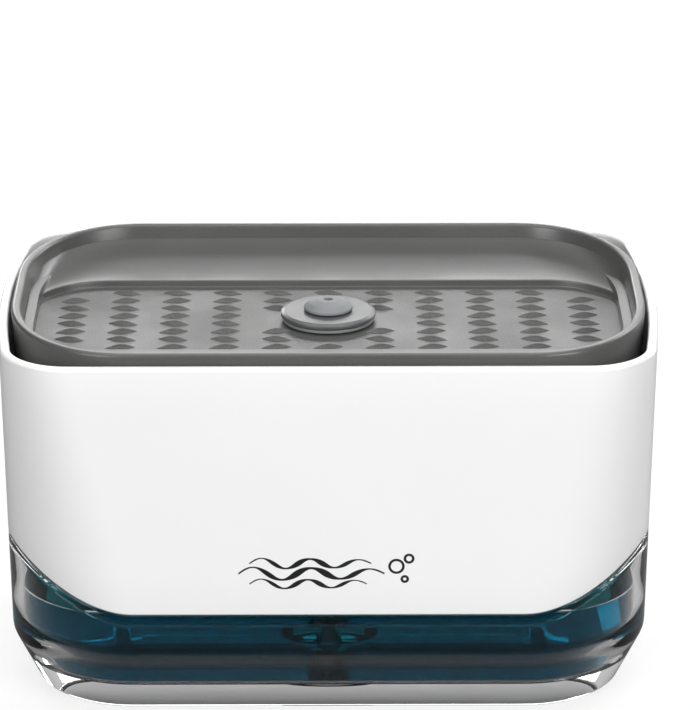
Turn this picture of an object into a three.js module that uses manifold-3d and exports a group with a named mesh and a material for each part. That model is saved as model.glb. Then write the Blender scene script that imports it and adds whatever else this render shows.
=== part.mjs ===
// Press-top soap dispenser: a clear soap tank inside a white sleeve, with a sponge tray on a spring pump.
// Millimetres, +Z up, front towards -Y, origin on the worktop under the middle of the base.

import * as THREE from 'three';
import Module from 'manifold-3d';
import { mergeVertices } from 'three/addons/utils/BufferGeometryUtils.js';

const wasm = await Module();
wasm.setup();

// ---------------------------------------------------------------- driving dimensions

const HALF_WIDTH = 72.7; // outside of the sleeve at its rim, in the middle of its bowed ends
const HALF_DEPTH = 48;
const RIM_Z = 82; // top of the sleeve
const DRAFT = 0.0214; // how far each side leans in, per millimetre down
const END_BOW = 2.2; // how far the ends fall back BOW_REACH from the middle
const BOW_REACH = 35;
const CORNER_TOP = 13; // plan corner radius at the rim
const CORNER_LOW = 25; // plan corner radius of the tank
const SLEEVE_WALL = 2.2;
const TANK_WALL = 2.2;
const GAP = 0.3; // kept between pieces that touch

const EDGE_FRONT_Z = 24.7; // lower edge of the sleeve across the front and the back
const EDGE_SIDE_Z = 36; // lower edge of the sleeve along the two ends
const EDGE_TURN = THREE.MathUtils.degToRad(80); // part of the corner over which it climbs

const TANK_RIM_Z = 43;
const TANK_FLOOR_Z = 6.6;
const CHAMFER_TOP_Z = 11.1;
const SOAP_TOP_Z = 23.9;
const WELL_RADIUS = 11.2;
const WELL_Z = 3.4; // floor of the round well under the suction tube

const TRAY_HALF_WIDTH = 69.7;
const TRAY_HALF_DEPTH = 45.2;
const TRAY_RIM_Z = 84.2;
const TRAY_FLOOR_Z = 76;
const TRAY_WALL = 2;
const STROKE = 9; // how far the tray presses down

const STEPS_PER_CORNER = 10; // points on each rounded corner
const END_REACH = 1 / 3; // each half of an end has one more point, at this share of its straight length
const ROUND_STEPS = 24; // facets of the pump's turned parts

// ---------------------------------------------------------------- materials

const paint = (color, roughness, extra = {}) =>
  new THREE.MeshStandardMaterial({ color, roughness, metalness: 0, ...extra });

const WHITE_GLOSS = paint(0xefefef, 0.28);
const TRAY_GREY = paint(0x8d8d8c, 0.45);
const CLEAR = paint(0xd7dfe1, 0.08, { transparent: true, opacity: 0.35 });
const SOAP = paint(0x0f3a4b, 0.12, { transparent: true, opacity: 0.85 });
const DARK_GREY = paint(0x3c3e40, 0.5);
const PUMP_WHITE = paint(0xe6e6e2, 0.4);
const MILKY = paint(0xdfe4e3, 0.35);
const SILICONE = paint(0xb9bcbb, 0.6);
const STEEL = new THREE.MeshStandardMaterial({ color: 0xb8babd, roughness: 0.22, metalness: 1 });

// ---------------------------------------------------------------- rings and skins

const mix = THREE.MathUtils.lerp;

/** The four quadrants, counterclockwise from +X, with the sign of each axis. */
const QUADRANTS = [[1, 1], [-1, 1], [-1, -1], [1, -1]];

/** Angle from the +X or -X axis, 0 to 90 degrees, of step i on the corner of quadrant q. */
function cornerAngle(q, i) {
  const along = (i / (STEPS_PER_CORNER - 1)) * (Math.PI / 2);
  return q % 2 === 0 ? along : Math.PI / 2 - along;
}

/** Run place(signX, signY, angle, reach) over every point of a ring, counterclockwise. */
function ringOf(place) {
  return QUADRANTS.flatMap(([signX, signY], q) => {
    const end = place(signX, signY, 0, END_REACH);
    const corner = Array.from({ length: STEPS_PER_CORNER }, (_, i) => (
      place(signX, signY, cornerAngle(q, i), 1)
    ));
    return q % 2 === 0 ? [end, ...corner] : [...corner, end];
  });
}

/** A circle with as many points as the other rings. */
function circleRing(radius, z) {
  const count = 4 * (STEPS_PER_CORNER + 1);
  return Array.from({ length: count }, (_, i) => {
    const angle = ((i + 0.5) / count) * 2 * Math.PI;
    return [radius * Math.cos(angle), radius * Math.sin(angle), z];
  });
}

/** Plan corner radius of the body at height z. */
function bodyCorner(z) {
  const rise = THREE.MathUtils.clamp((z - EDGE_FRONT_Z) / (RIM_Z - EDGE_FRONT_Z), 0, 1);
  return mix(CORNER_LOW, CORNER_TOP, rise);
}

/** Height of the sleeve's lower edge at a corner angle: level in front, higher at the ends. */
function edgeHeight(angle) {
  const turn = THREE.MathUtils.clamp((Math.PI / 2 - angle) / EDGE_TURN, 0, 1);
  return mix(EDGE_FRONT_Z, EDGE_SIDE_Z, turn * turn * (3 - 2 * turn));
}

/** How far the bowed ends have fallen back at a distance y from the middle. */
const endBow = (y) => END_BOW * (y / BOW_REACH) ** 2;

/** One ring of the body, inset from its outer skin. height and inset may depend on the corner angle. */
function bodyRing(inset, height) {
  return ringOf((signX, signY, angle, reach) => {
    const z = typeof height === 'function' ? height(angle) : height;
    const step = typeof inset === 'function' ? inset(angle, z) : inset;
    const lean = (RIM_Z - z) * DRAFT;
    const corner = bodyCorner(z);
    const radius = Math.max(corner - step, 1);
    const y = (HALF_DEPTH - lean - step - radius) * reach + radius * Math.sin(angle);
    const x = HALF_WIDTH - lean - step - radius + radius * Math.cos(angle) - endBow(y);
    return [signX * x, signY * y, z];
  });
}

const aboveEdge = (offset) => (angle) => edgeHeight(angle) + offset;

/** Skin a stack of rings. The stack closes on itself when looped, and is capped at both ends if not. */
function skin(rings, looped) {
  const count = rings[0].length;
  const points = rings.flat();
  const faces = [];
  const bands = looped ? rings.length : rings.length - 1;
  for (let band = 0; band < bands; band += 1) {
    const low = band * count;
    const high = ((band + 1) % rings.length) * count;
    for (let i = 0; i < count; i += 1) {
      const next = (i + 1) % count;
      faces.push(low + i, low + next, high + next);
      faces.push(low + i, high + next, high + i);
    }
  }
  if (!looped) {
    capRing(points, faces, 0, count, true);
    capRing(points, faces, (rings.length - 1) * count, count, false);
  }
  return geometryFrom(points.flat(), faces);
}

/** Close one end ring with a fan about its middle. */
function capRing(points, faces, start, count, facesDown) {
  const middle = points.length;
  points.push([0, 0, points[start][2]]);
  for (let i = 0; i < count; i += 1) {
    const a = start + i;
    const b = start + ((i + 1) % count);
    faces.push(middle, facesDown ? b : a, facesDown ? a : b);
  }
}

function geometryFrom(positions, faces) {
  const geometry = new THREE.BufferGeometry();
  geometry.setAttribute('position', new THREE.Float32BufferAttribute(positions, 3));
  geometry.setIndex(faces);
  return geometry;
}

/** Keep only position, with shared corners merged. */
function welded(geometry) {
  const bare = geometry.clone();
  bare.deleteAttribute('normal');
  bare.deleteAttribute('uv');
  return mergeVertices(bare, 1e-4);
}

/** Turn a closed outline of [radius, z] about the Z axis. */
function turned(profile, steps = ROUND_STEPS) {
  const outline = profile.map(([radius, z]) => new THREE.Vector2(radius, z));
  const lathe = new THREE.LatheGeometry(outline, steps);
  lathe.rotateX(Math.PI / 2);
  return facingOut(welded(lathe));
}

/** A turned ring whose outline closes on itself. */
const turnedRing = (profile, steps) => turned([...profile, profile[0]], steps);

/** Reverse the faces of a closed mesh that is inside out. */
function facingOut(geometry) {
  const at = geometry.attributes.position;
  const index = Array.from(geometry.index.array);
  const corner = (k) => new THREE.Vector3().fromBufferAttribute(at, k);
  let volume = 0;
  for (let i = 0; i < index.length; i += 3) {
    volume += corner(index[i]).dot(corner(index[i + 1]).cross(corner(index[i + 2])));
  }
  if (volume < 0) {
    index.reverse();
  }
  geometry.setIndex(index);
  return geometry;
}

// ---------------------------------------------------------------- joining and cutting

function toSolid(geometry) {
  const closed = welded(geometry);
  return new wasm.Manifold(new wasm.Mesh({
    numProp: 3,
    vertProperties: new Float32Array(closed.attributes.position.array),
    triVerts: new Uint32Array(closed.index.array),
  }));
}

function fromSolid(solid) {
  const mesh = solid.getMesh();
  return geometryFrom(Array.from(mesh.vertProperties), Array.from(mesh.triVerts));
}

// ---------------------------------------------------------------- casing

/** White outer sleeve: open top and bottom, with rounded lips and a lower edge that climbs at the ends. */
function outerSleeve() {
  return skin([
    bodyRing(0.5, aboveEdge(0)),
    bodyRing(0, aboveEdge(0.5)),
    bodyRing(0, RIM_Z - 0.9),
    bodyRing(0.25, RIM_Z - 0.25),
    bodyRing(0.9, RIM_Z),
    bodyRing(1.8, RIM_Z),
    bodyRing(SLEEVE_WALL, RIM_Z - 0.4),
    bodyRing(SLEEVE_WALL, aboveEdge(0.3)),
    bodyRing(SLEEVE_WALL - 0.3, aboveEdge(0)),
  ], true);
}

const UPPER_INSET = SLEEVE_WALL + GAP; // the tank steps in by this much to pass up inside the sleeve
const UPPER_INSIDE = UPPER_INSET + TANK_WALL + 0.1;
const STEP_DEPTH = 3.2; // the inside of the tank starts to step in this far under the sleeve's edge
const STEP_TOP = 0.6;

/** Inside inset of the tank wall at height z, which steps in under the sleeve's edge. */
function tankInside(angle, z) {
  const start = edgeHeight(angle) - STEP_DEPTH;
  const rise = THREE.MathUtils.clamp((z - start) / (STEP_DEPTH - STEP_TOP), 0, 1);
  return mix(TANK_WALL, UPPER_INSIDE, rise);
}

const soapInset = (angle, z) => tankInside(angle, z) + GAP;

/** Inside of the tank from its straight wall down to the rounded edge of the floor: [inset, z]. */
const TANK_INNER_FOOT = [[TANK_WALL, 16.2], [TANK_WALL + 0.5, 14], [5.9, 7.4], [7.9, TANK_FLOOR_Z]];

/** Clear tank: chamfered foot, flush with the sleeve below its edge, and stepped in above it. */
function tank() {
  const outside = [
    bodyRing(7.6, 0),
    bodyRing(6.3, 0.35),
    bodyRing(5.2, 1.4),
    bodyRing(0.55, CHAMFER_TOP_Z),
    bodyRing(0, CHAMFER_TOP_Z + 2.2),
    bodyRing(0, aboveEdge(-GAP - 0.5)),
    bodyRing(0.5, aboveEdge(-GAP)),
    bodyRing(UPPER_INSET, aboveEdge(-GAP)),
    bodyRing(UPPER_INSET, TANK_RIM_Z - 0.5),
    bodyRing(UPPER_INSET + 0.4, TANK_RIM_Z),
  ];
  const inside = [
    bodyRing(UPPER_INSIDE - 0.4, TANK_RIM_Z),
    bodyRing(UPPER_INSIDE, TANK_RIM_Z - 0.4),
    bodyRing(UPPER_INSIDE, aboveEdge(-STEP_TOP)),
    bodyRing(TANK_WALL, aboveEdge(-STEP_DEPTH)),
    ...TANK_INNER_FOOT.map(([inset, z]) => bodyRing(inset, z)),
    circleRing(WELL_RADIUS + 0.5, TANK_FLOOR_Z),
    circleRing(WELL_RADIUS, TANK_FLOOR_Z - 0.4),
    circleRing(WELL_RADIUS - 0.6, WELL_Z),
  ];
  return skin([...outside, ...inside], false);
}

const SOAP_STEP_Z = EDGE_FRONT_Z - STEP_DEPTH;

/** The soap in the tank, standing clear of its walls and of the pump that dips into it. */
function liquidSoap() {
  const foot = [...TANK_INNER_FOOT].reverse();
  const body = skin([
    circleRing(WELL_RADIUS - 0.9, WELL_Z + GAP),
    circleRing(WELL_RADIUS - 0.3, TANK_FLOOR_Z),
    ...foot.map(([inset, z]) => bodyRing(inset + GAP, z + GAP)),
    bodyRing(TANK_WALL + GAP, SOAP_STEP_Z),
    bodyRing(soapInset, SOAP_TOP_Z),
  ], false);
  const clearance = turned([
    [0, SUCTION_END_Z - 0.6],
    [SUCTION_RADIUS + 0.5, SUCTION_END_Z - 0.6],
    [SUCTION_RADIUS + 0.5, TAIL_Z - 0.6],
    [BARREL_RADIUS + 0.5, TAIL_Z - 0.6],
    [BARREL_RADIUS + 0.5, SOAP_TOP_Z + 5],
    [0, SOAP_TOP_Z + 5],
  ]);
  return fromSolid(toSolid(body).subtract(toSolid(clearance)));
}

// ---------------------------------------------------------------- pump deck

const DECK_Z = TANK_RIM_Z + 1.6; // underside of the deck plate, above its seal
const DECK_TOP_Z = DECK_Z + 2.4;
const DECK_INSET = SLEEVE_WALL + 0.8;
const PLUG_INSET = UPPER_INSIDE + 0.5;
const PLUG_WALL = 1.6;
const PLUG_Z = TANK_RIM_Z - 5;
const NECK_RADIUS = 11;
const NECK_BORE = 7.6;
const NECK_TOP_Z = DECK_TOP_Z + 5.4;

/** Deck: closes the tank with a plug rim, and carries the pump in its neck. */
function deck() {
  return skin([
    bodyRing(DECK_INSET, DECK_Z),
    bodyRing(DECK_INSET, DECK_TOP_Z - 0.5),
    bodyRing(DECK_INSET + 0.5, DECK_TOP_Z),
    circleRing(NECK_RADIUS + 0.8, DECK_TOP_Z),
    circleRing(NECK_RADIUS, DECK_TOP_Z + 0.8),
    circleRing(NECK_RADIUS, NECK_TOP_Z),
    circleRing(NECK_BORE, NECK_TOP_Z),
    circleRing(NECK_BORE, DECK_Z),
    bodyRing(PLUG_INSET + PLUG_WALL, DECK_Z),
    bodyRing(PLUG_INSET + PLUG_WALL, PLUG_Z),
    bodyRing(PLUG_INSET + 0.3, PLUG_Z),
    bodyRing(PLUG_INSET, PLUG_Z + 1),
    bodyRing(PLUG_INSET, DECK_Z),
  ], true);
}

/** Flat silicone seal between the tank rim and the deck. */
function deckSeal() {
  const outer = DECK_INSET + 0.1;
  const inner = PLUG_INSET - 0.4;
  const low = TANK_RIM_Z + GAP;
  const high = DECK_Z - GAP;
  return skin([bodyRing(outer, low), bodyRing(outer, high), bodyRing(inner, high), bodyRing(inner, low)], true);
}

/** Screw cap with a ribbed grip that clamps the pump to the neck. */
function closureCap() {
  const outer = 14;
  const ribDepth = 0.5;
  const bore = NECK_RADIUS + 0.5;
  const bottom = DECK_TOP_Z + 0.8;
  const ribbed = (radius, z) => circleRing(radius, z).map(([x, y], i) => {
    const scale = i % 2 === 0 ? 1 : 1 - ribDepth / radius;
    return [x * scale, y * scale, z];
  });
  return skin([
    ribbed(outer, bottom),
    ribbed(outer, CAP_TOP_Z - 1.2),
    circleRing(outer - 1, CAP_TOP_Z),
    circleRing(CAP_HOLE, CAP_TOP_Z),
    circleRing(CAP_HOLE, CAP_PLATE_Z),
    circleRing(bore, CAP_PLATE_Z),
    circleRing(bore, bottom),
  ], true);
}

// ---------------------------------------------------------------- pump

const GASKET_Z = NECK_TOP_Z + GAP;
const FLANGE_Z = GASKET_Z + 0.8 + GAP;
const FLANGE_TOP_Z = FLANGE_Z + 1.4;
const FLANGE_RADIUS = 10.6;
const CAP_PLATE_Z = FLANGE_TOP_Z + GAP;
const CAP_TOP_Z = CAP_PLATE_Z + 1.7;
const CAP_HOLE = 4.6;

const BARREL_RADIUS = 7.2;
const BARREL_BORE = 6;
const SPRING_SEAT_Z = 22;
const BALL_CHAMBER = 2.9;
const SEAT_RADIUS = 1.4;
const SEAT_Z = 18.2;
const TAIL_Z = 11;
const TAIL_RADIUS = 4.2;
const SUCTION_RADIUS = 2.3;
const SUCTION_BORE = 1.4;
const SUCTION_TOP_Z = 16.6;
const SUCTION_END_Z = 4.4;

/** Pump cylinder: flange, barrel, spring seat, ball seat, and a tail that takes the suction tube. */
function pumpCylinder() {
  const tailBore = SUCTION_RADIUS + 0.25;
  return turnedRing([
    [FLANGE_RADIUS, FLANGE_Z],
    [FLANGE_RADIUS, FLANGE_TOP_Z],
    [BARREL_BORE, FLANGE_TOP_Z],
    [BARREL_BORE, SPRING_SEAT_Z],
    [BALL_CHAMBER, SPRING_SEAT_Z],
    [BALL_CHAMBER, SEAT_Z + 1.3],
    [SEAT_RADIUS, SEAT_Z],
    [SEAT_RADIUS, SUCTION_TOP_Z + 0.4],
    [tailBore, SUCTION_TOP_Z + 0.4],
    [tailBore, TAIL_Z],
    [TAIL_RADIUS, TAIL_Z],
    [TAIL_RADIUS, SPRING_SEAT_Z - 3],
    [BARREL_RADIUS, SPRING_SEAT_Z - 1],
    [BARREL_RADIUS, FLANGE_Z],
  ]);
}

/** Flat washer between the neck and the cylinder's flange. */
const cylinderGasket = () => turnedRing([
  [BARREL_RADIUS + 0.4, GASKET_Z],
  [FLANGE_RADIUS - 0.2, GASKET_Z],
  [FLANGE_RADIUS - 0.2, FLANGE_Z - GAP],
  [BARREL_RADIUS + 0.4, FLANGE_Z - GAP],
]);

const GUIDE_TOP_Z = FLANGE_TOP_Z - 0.2;
const GUIDE_Z = GUIDE_TOP_Z - 7.5;
const STEM_RADIUS = 3;
const STEM_BORE = 1.8;

/** Bush in the top of the barrel that guides the stem and stops the piston. */
const stemGuide = () => turnedRing([
  [STEM_RADIUS + GAP, GUIDE_Z],
  [BARREL_BORE - GAP, GUIDE_Z],
  [BARREL_BORE - GAP, GUIDE_TOP_Z],
  [STEM_RADIUS + 0.9, GUIDE_TOP_Z],
  [STEM_RADIUS + GAP, GUIDE_TOP_Z - 0.8],
]);

const suctionTube = () => turnedRing([
  [SUCTION_BORE, SUCTION_END_Z],
  [SUCTION_RADIUS, SUCTION_END_Z],
  [SUCTION_RADIUS, SUCTION_TOP_Z],
  [SUCTION_BORE, SUCTION_TOP_Z],
]);

const PISTON_TOP_Z = GUIDE_Z - 0.6;
const PISTON_Z = PISTON_TOP_Z - 4.5;
const STEM_END_Z = PISTON_Z - 1.4;
const STEM_FOOT_RADIUS = 5.2;

/** Piston seal: a waisted ring with a lip at each end. */
function pistonSeal() {
  const inner = STEM_RADIUS + GAP;
  const lip = BARREL_BORE - GAP;
  const waist = lip - 0.9;
  return turnedRing([
    [inner, PISTON_Z],
    [lip - 0.3, PISTON_Z],
    [lip, PISTON_Z + 0.6],
    [waist, PISTON_Z + 1.7],
    [waist, PISTON_TOP_Z - 1.7],
    [lip, PISTON_TOP_Z - 0.6],
    [lip - 0.3, PISTON_TOP_Z],
    [inner, PISTON_TOP_Z],
  ]);
}

const HEAD_Z = CAP_TOP_Z + STROKE; // underside of the stem's head, on the cap at full stroke
const HEAD_RADIUS = 3.9;
const HEAD_TOP_Z = TRAY_FLOOR_Z - 2.6;
const OUTLET_SEAT_Z = HEAD_Z + 0.8;
const OUTLET_CHAMBER = 2.6;
const RING_GROOVE_Z = HEAD_Z + 3.6;
const RING_GROOVE_RADIUS = 3.5;

/** Hollow stem: spring foot, shank, and a head with the outlet valve's seat and a groove for its ring. */
const pistonStem = () => turnedRing([
  [STEM_BORE, STEM_END_Z],
  [STEM_FOOT_RADIUS, STEM_END_Z],
  [STEM_FOOT_RADIUS, PISTON_Z - GAP],
  [STEM_RADIUS, PISTON_Z - GAP],
  [STEM_RADIUS, HEAD_Z],
  [HEAD_RADIUS, HEAD_Z],
  [HEAD_RADIUS, RING_GROOVE_Z - 0.6],
  [RING_GROOVE_RADIUS, RING_GROOVE_Z - 0.6],
  [RING_GROOVE_RADIUS, RING_GROOVE_Z + 0.6],
  [HEAD_RADIUS, RING_GROOVE_Z + 0.6],
  [HEAD_RADIUS, HEAD_TOP_Z],
  [OUTLET_CHAMBER, HEAD_TOP_Z],
  [OUTLET_CHAMBER, OUTLET_SEAT_Z + 1.2],
  [SEAT_RADIUS, OUTLET_SEAT_Z],
  [SEAT_RADIUS, OUTLET_SEAT_Z - 0.6],
  [STEM_BORE, OUTLET_SEAT_Z - 1.1],
]);

/** O-ring that seals and holds the tray's hub on the stem's head. */
function stemRing() {
  const radius = RING_GROOVE_RADIUS + 0.7;
  const section = 0.45;
  const sides = 8;
  const outline = Array.from({ length: sides }, (_, i) => {
    const angle = (i / sides) * 2 * Math.PI;
    return [radius + section * Math.cos(angle), RING_GROOVE_Z + section * Math.sin(angle)];
  });
  return turnedRing(outline);
}

const INLET_BALL = { radius: 2.4, z: SEAT_Z + 2.07 };
const OUTLET_BALL = { radius: 2, z: OUTLET_SEAT_Z + 1.54 };

/** Valve ball, lying just clear of the cone that it seats on. */
function valveBall({ radius }) {
  return facingOut(welded(new THREE.SphereGeometry(radius, 16, 10)));
}

/** Centre line of the return spring. */
class SpringLine extends THREE.Curve {
  constructor(radius, low, high, turns) {
    super();
    Object.assign(this, { radius, low, high, turns });
  }

  getPoint(t, target = new THREE.Vector3()) {
    const angle = t * this.turns * 2 * Math.PI;
    const z = mix(this.low, this.high, t);
    return target.set(this.radius * Math.cos(angle), this.radius * Math.sin(angle), z);
  }
}

/** Coil spring between the seat in the barrel and the stem's foot. */
function returnSpring() {
  const wire = 0.45;
  const turns = 6;
  const stepsPerTurn = 14;
  const line = new SpringLine(4.55, SPRING_SEAT_Z + wire + 0.35, STEM_END_Z - wire - 0.35, turns);
  const section = new THREE.Shape().absarc(0, 0, wire, 0, 2 * Math.PI, false);
  return facingOut(welded(new THREE.ExtrudeGeometry(section, {
    steps: turns * stepsPerTurn,
    curveSegments: 6,
    bevelEnabled: false,
    extrudePath: line,
  })));
}

// ---------------------------------------------------------------- tray

const TRAY_CORNER_X = 27.2;
const TRAY_CORNER_Y = 36.2;
const TRAY_CORNER_POWER = 2 / 2.13; // a little squarer than an ellipse
const SKIRT_Z = 66;
const SKIRT_LEAN = 1 / 18; // the skirt's draft
const FLOOR_HALF_WIDTH = 66.2;
const FLOOR_HALF_DEPTH = 22.4;
const FLOOR_CORNER = 17;
const HUB_HOLE = 8.5;

/** One ring of the tray's rim and skirt, whose long soft corners leave crescents inside the sleeve. */
function trayRing(inset, z) {
  return ringOf((signX, signY, angle, reach) => {
    const step = inset + (TRAY_RIM_Z - z) * SKIRT_LEAN;
    const reachX = TRAY_CORNER_X - step;
    const reachY = TRAY_CORNER_Y - step;
    const x = TRAY_HALF_WIDTH - TRAY_CORNER_X + reachX * Math.cos(angle) ** TRAY_CORNER_POWER;
    const y = (TRAY_HALF_DEPTH - TRAY_CORNER_Y) * reach + reachY * Math.sin(angle) ** TRAY_CORNER_POWER;
    return [signX * x, signY * y, z];
  });
}

/** One ring of the tray's floor, outset from its flat part. */
function floorRing(outset, z) {
  return ringOf((signX, signY, angle, reach) => {
    const radius = FLOOR_CORNER + outset;
    const x = FLOOR_HALF_WIDTH - FLOOR_CORNER + radius * Math.cos(angle);
    const y = (FLOOR_HALF_DEPTH - FLOOR_CORNER) * reach + radius * Math.sin(angle);
    return [signX * x, signY * y, z];
  });
}

const RIDGE_COLUMNS = 5; // on each side of the middle one
const RIDGE_PITCH_X = 11.4;
const RIDGE_ROWS = 8;
const RIDGE_PITCH_Y = 5.15;
const RIDGE = { length: 6.8, width: 1.7, height: 0.9, tilt: THREE.MathUtils.degToRad(9) };
const CLEAR_RADIUS = 13.4; // no ridges this near the middle

/** Places and turns of the grip ridges, a herringbone that leaves the hub and the corners clear. */
function ridgePlaces() {
  const places = [];
  for (let column = -RIDGE_COLUMNS; column <= RIDGE_COLUMNS; column += 1) {
    for (let row = 0; row < RIDGE_ROWS; row += 1) {
      const x = column * RIDGE_PITCH_X;
      const y = (row - (RIDGE_ROWS - 1) / 2) * RIDGE_PITCH_Y;
      const atCorner = Math.abs(column) === RIDGE_COLUMNS && (row === 0 || row === RIDGE_ROWS - 1);
      if (Math.hypot(x, y) > CLEAR_RADIUS && !atCorner) {
        places.push({ x, y, turn: row % 2 === 0 ? RIDGE.tilt : -RIDGE.tilt });
      }
    }
  }
  return places;
}

/** One grip ridge: a long low four-sided point, rooted in the floor. */
function gripRidge({ x, y, turn }) {
  const root = 0.8;
  const height = RIDGE.height + root;
  const spread = height / RIDGE.height / Math.SQRT2;
  const ridge = new THREE.CylinderGeometry(0, 1, height, 4);
  ridge.rotateY(Math.PI / 4);
  ridge.rotateX(Math.PI / 2);
  ridge.rotateZ(Math.PI / 4);
  ridge.scale(RIDGE.length * spread / Math.SQRT2, RIDGE.width * spread / Math.SQRT2, 1);
  ridge.rotateZ(turn);
  ridge.translate(x, y, TRAY_FLOOR_Z - root + height / 2);
  return toSolid(ridge);
}

/** Sponge tray: rounded rim over a skirt, long sides that slope to a ridged floor, and a hole for the hub. */
function spongeTray() {
  const shell = skin([
    trayRing(0, SKIRT_Z),
    trayRing(0, TRAY_RIM_Z - 0.8),
    trayRing(0.3, TRAY_RIM_Z - 0.25),
    trayRing(0.9, TRAY_RIM_Z),
    trayRing(1.5, TRAY_RIM_Z - 0.25),
    trayRing(1.9, TRAY_RIM_Z - 1),
    trayRing(2.2, TRAY_RIM_Z - 2.6),
    floorRing(0.9, TRAY_FLOOR_Z + 0.3),
    floorRing(0, TRAY_FLOOR_Z),
    circleRing(HUB_HOLE, TRAY_FLOOR_Z),
    circleRing(HUB_HOLE, TRAY_FLOOR_Z - TRAY_WALL),
    floorRing(-1.4, TRAY_FLOOR_Z - TRAY_WALL),
    trayRing(4, TRAY_RIM_Z - 5.2),
    trayRing(1.9, TRAY_RIM_Z - 4.6),
    trayRing(1.9, SKIRT_Z),
  ], true);
  return fromSolid(ridgePlaces().reduce((solid, place) => solid.add(gripRidge(place)), toSolid(shell)));
}

const HUB_GASKET_Z = TRAY_FLOOR_Z + GAP;
const HUB_FLANGE_Z = HUB_GASKET_Z + 0.7 + GAP;
const HUB_TOP_Z = HUB_FLANGE_Z + 1.2;
const HUB_FLANGE = 10.6;
const HUB_BODY = HUB_HOLE - GAP;
const HUB_BEAD = HUB_HOLE + 0.4;
const HUB_BEAD_Z = TRAY_FLOOR_Z - TRAY_WALL - GAP;
const SOCKET_BORE = 4.9;
const SOCKET_RADIUS = 6.6;
const SOCKET_Z = CAP_TOP_Z + STROKE + 1.3;
const OUTLET_BORE = 1.5;

/** Hub: snaps into the tray's hole, sockets onto the stem's head, and leads the soap up. */
const nozzleHub = () => turnedRing([
  [SOCKET_BORE, SOCKET_Z],
  [SOCKET_RADIUS, SOCKET_Z],
  [SOCKET_RADIUS, HUB_BEAD_Z - 1.6],
  [HUB_BEAD, HUB_BEAD_Z - 0.9],
  [HUB_BEAD, HUB_BEAD_Z],
  [HUB_BODY, HUB_BEAD_Z],
  [HUB_BODY, HUB_FLANGE_Z],
  [HUB_FLANGE, HUB_FLANGE_Z],
  [HUB_FLANGE, HUB_TOP_Z - 0.5],
  [HUB_FLANGE - 0.8, HUB_TOP_Z],
  [OUTLET_BORE, HUB_TOP_Z],
  [OUTLET_BORE, HEAD_TOP_Z + GAP],
  [SOCKET_BORE, HEAD_TOP_Z + GAP],
], 32);

const hubGasket = () => turnedRing([
  [HUB_HOLE + 0.2, HUB_GASKET_Z],
  [HUB_FLANGE - 0.4, HUB_GASKET_Z],
  [HUB_FLANGE - 0.4, HUB_FLANGE_Z - GAP],
  [HUB_HOLE + 0.2, HUB_FLANGE_Z - GAP],
], 32);

/** Soft outlet: a low dome with the hole that the soap comes up through. */
function outletNozzle() {
  const base = HUB_TOP_Z + GAP;
  return turnedRing([
    [1, base],
    [5.4, base],
    [5.4, base + 0.5],
    [4.4, base + 1.5],
    [2.6, base + 2.1],
    [1.4, base + 2.2],
    [1, base + 1.9],
  ]);
}

// ---------------------------------------------------------------- assembly

const dispenser = new THREE.Group();

function place(name, geometry, material, height = 0) {
  const mesh = new THREE.Mesh(geometry, material);
  mesh.name = name;
  mesh.position.z = height;
  dispenser.add(mesh);
}

place('tank', tank(), CLEAR);
place('liquid_soap', liquidSoap(), SOAP);
place('outer_sleeve', outerSleeve(), WHITE_GLOSS);
place('deck', deck(), DARK_GREY);
place('deck_seal', deckSeal(), SILICONE);
place('closure_cap', closureCap(), PUMP_WHITE);
place('cylinder_gasket', cylinderGasket(), SILICONE);
place('pump_cylinder', pumpCylinder(), MILKY);
place('suction_tube', suctionTube(), MILKY);
place('stem_guide', stemGuide(), PUMP_WHITE);
place('return_spring', returnSpring(), STEEL);
place('inlet_ball', valveBall(INLET_BALL), STEEL, INLET_BALL.z);
place('piston_stem', pistonStem(), PUMP_WHITE);
place('piston_seal', pistonSeal(), MILKY);
place('outlet_ball', valveBall(OUTLET_BALL), STEEL, OUTLET_BALL.z);
place('stem_ring', stemRing(), SILICONE);
place('sponge_tray', spongeTray(), TRAY_GREY);
place('hub_gasket', hubGasket(), SILICONE);
place('nozzle_hub', nozzleHub(), DARK_GREY);
place('outlet_nozzle', outletNozzle(), SILICONE);

export default dispenser;
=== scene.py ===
"""Looks of a press-top soap dispenser: a clear tank in a white sleeve, under a sponge tray on a pump.

Metres, +Z up, front towards -Y. Laid out as an add-on whose operators each build one piece, or a group
of like pieces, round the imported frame, and run from top to bottom as a script.
"""

import math

import bmesh
import bpy
from bpy.props import FloatProperty, FloatVectorProperty, IntProperty, PointerProperty
from mathutils import Matrix, Vector


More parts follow.
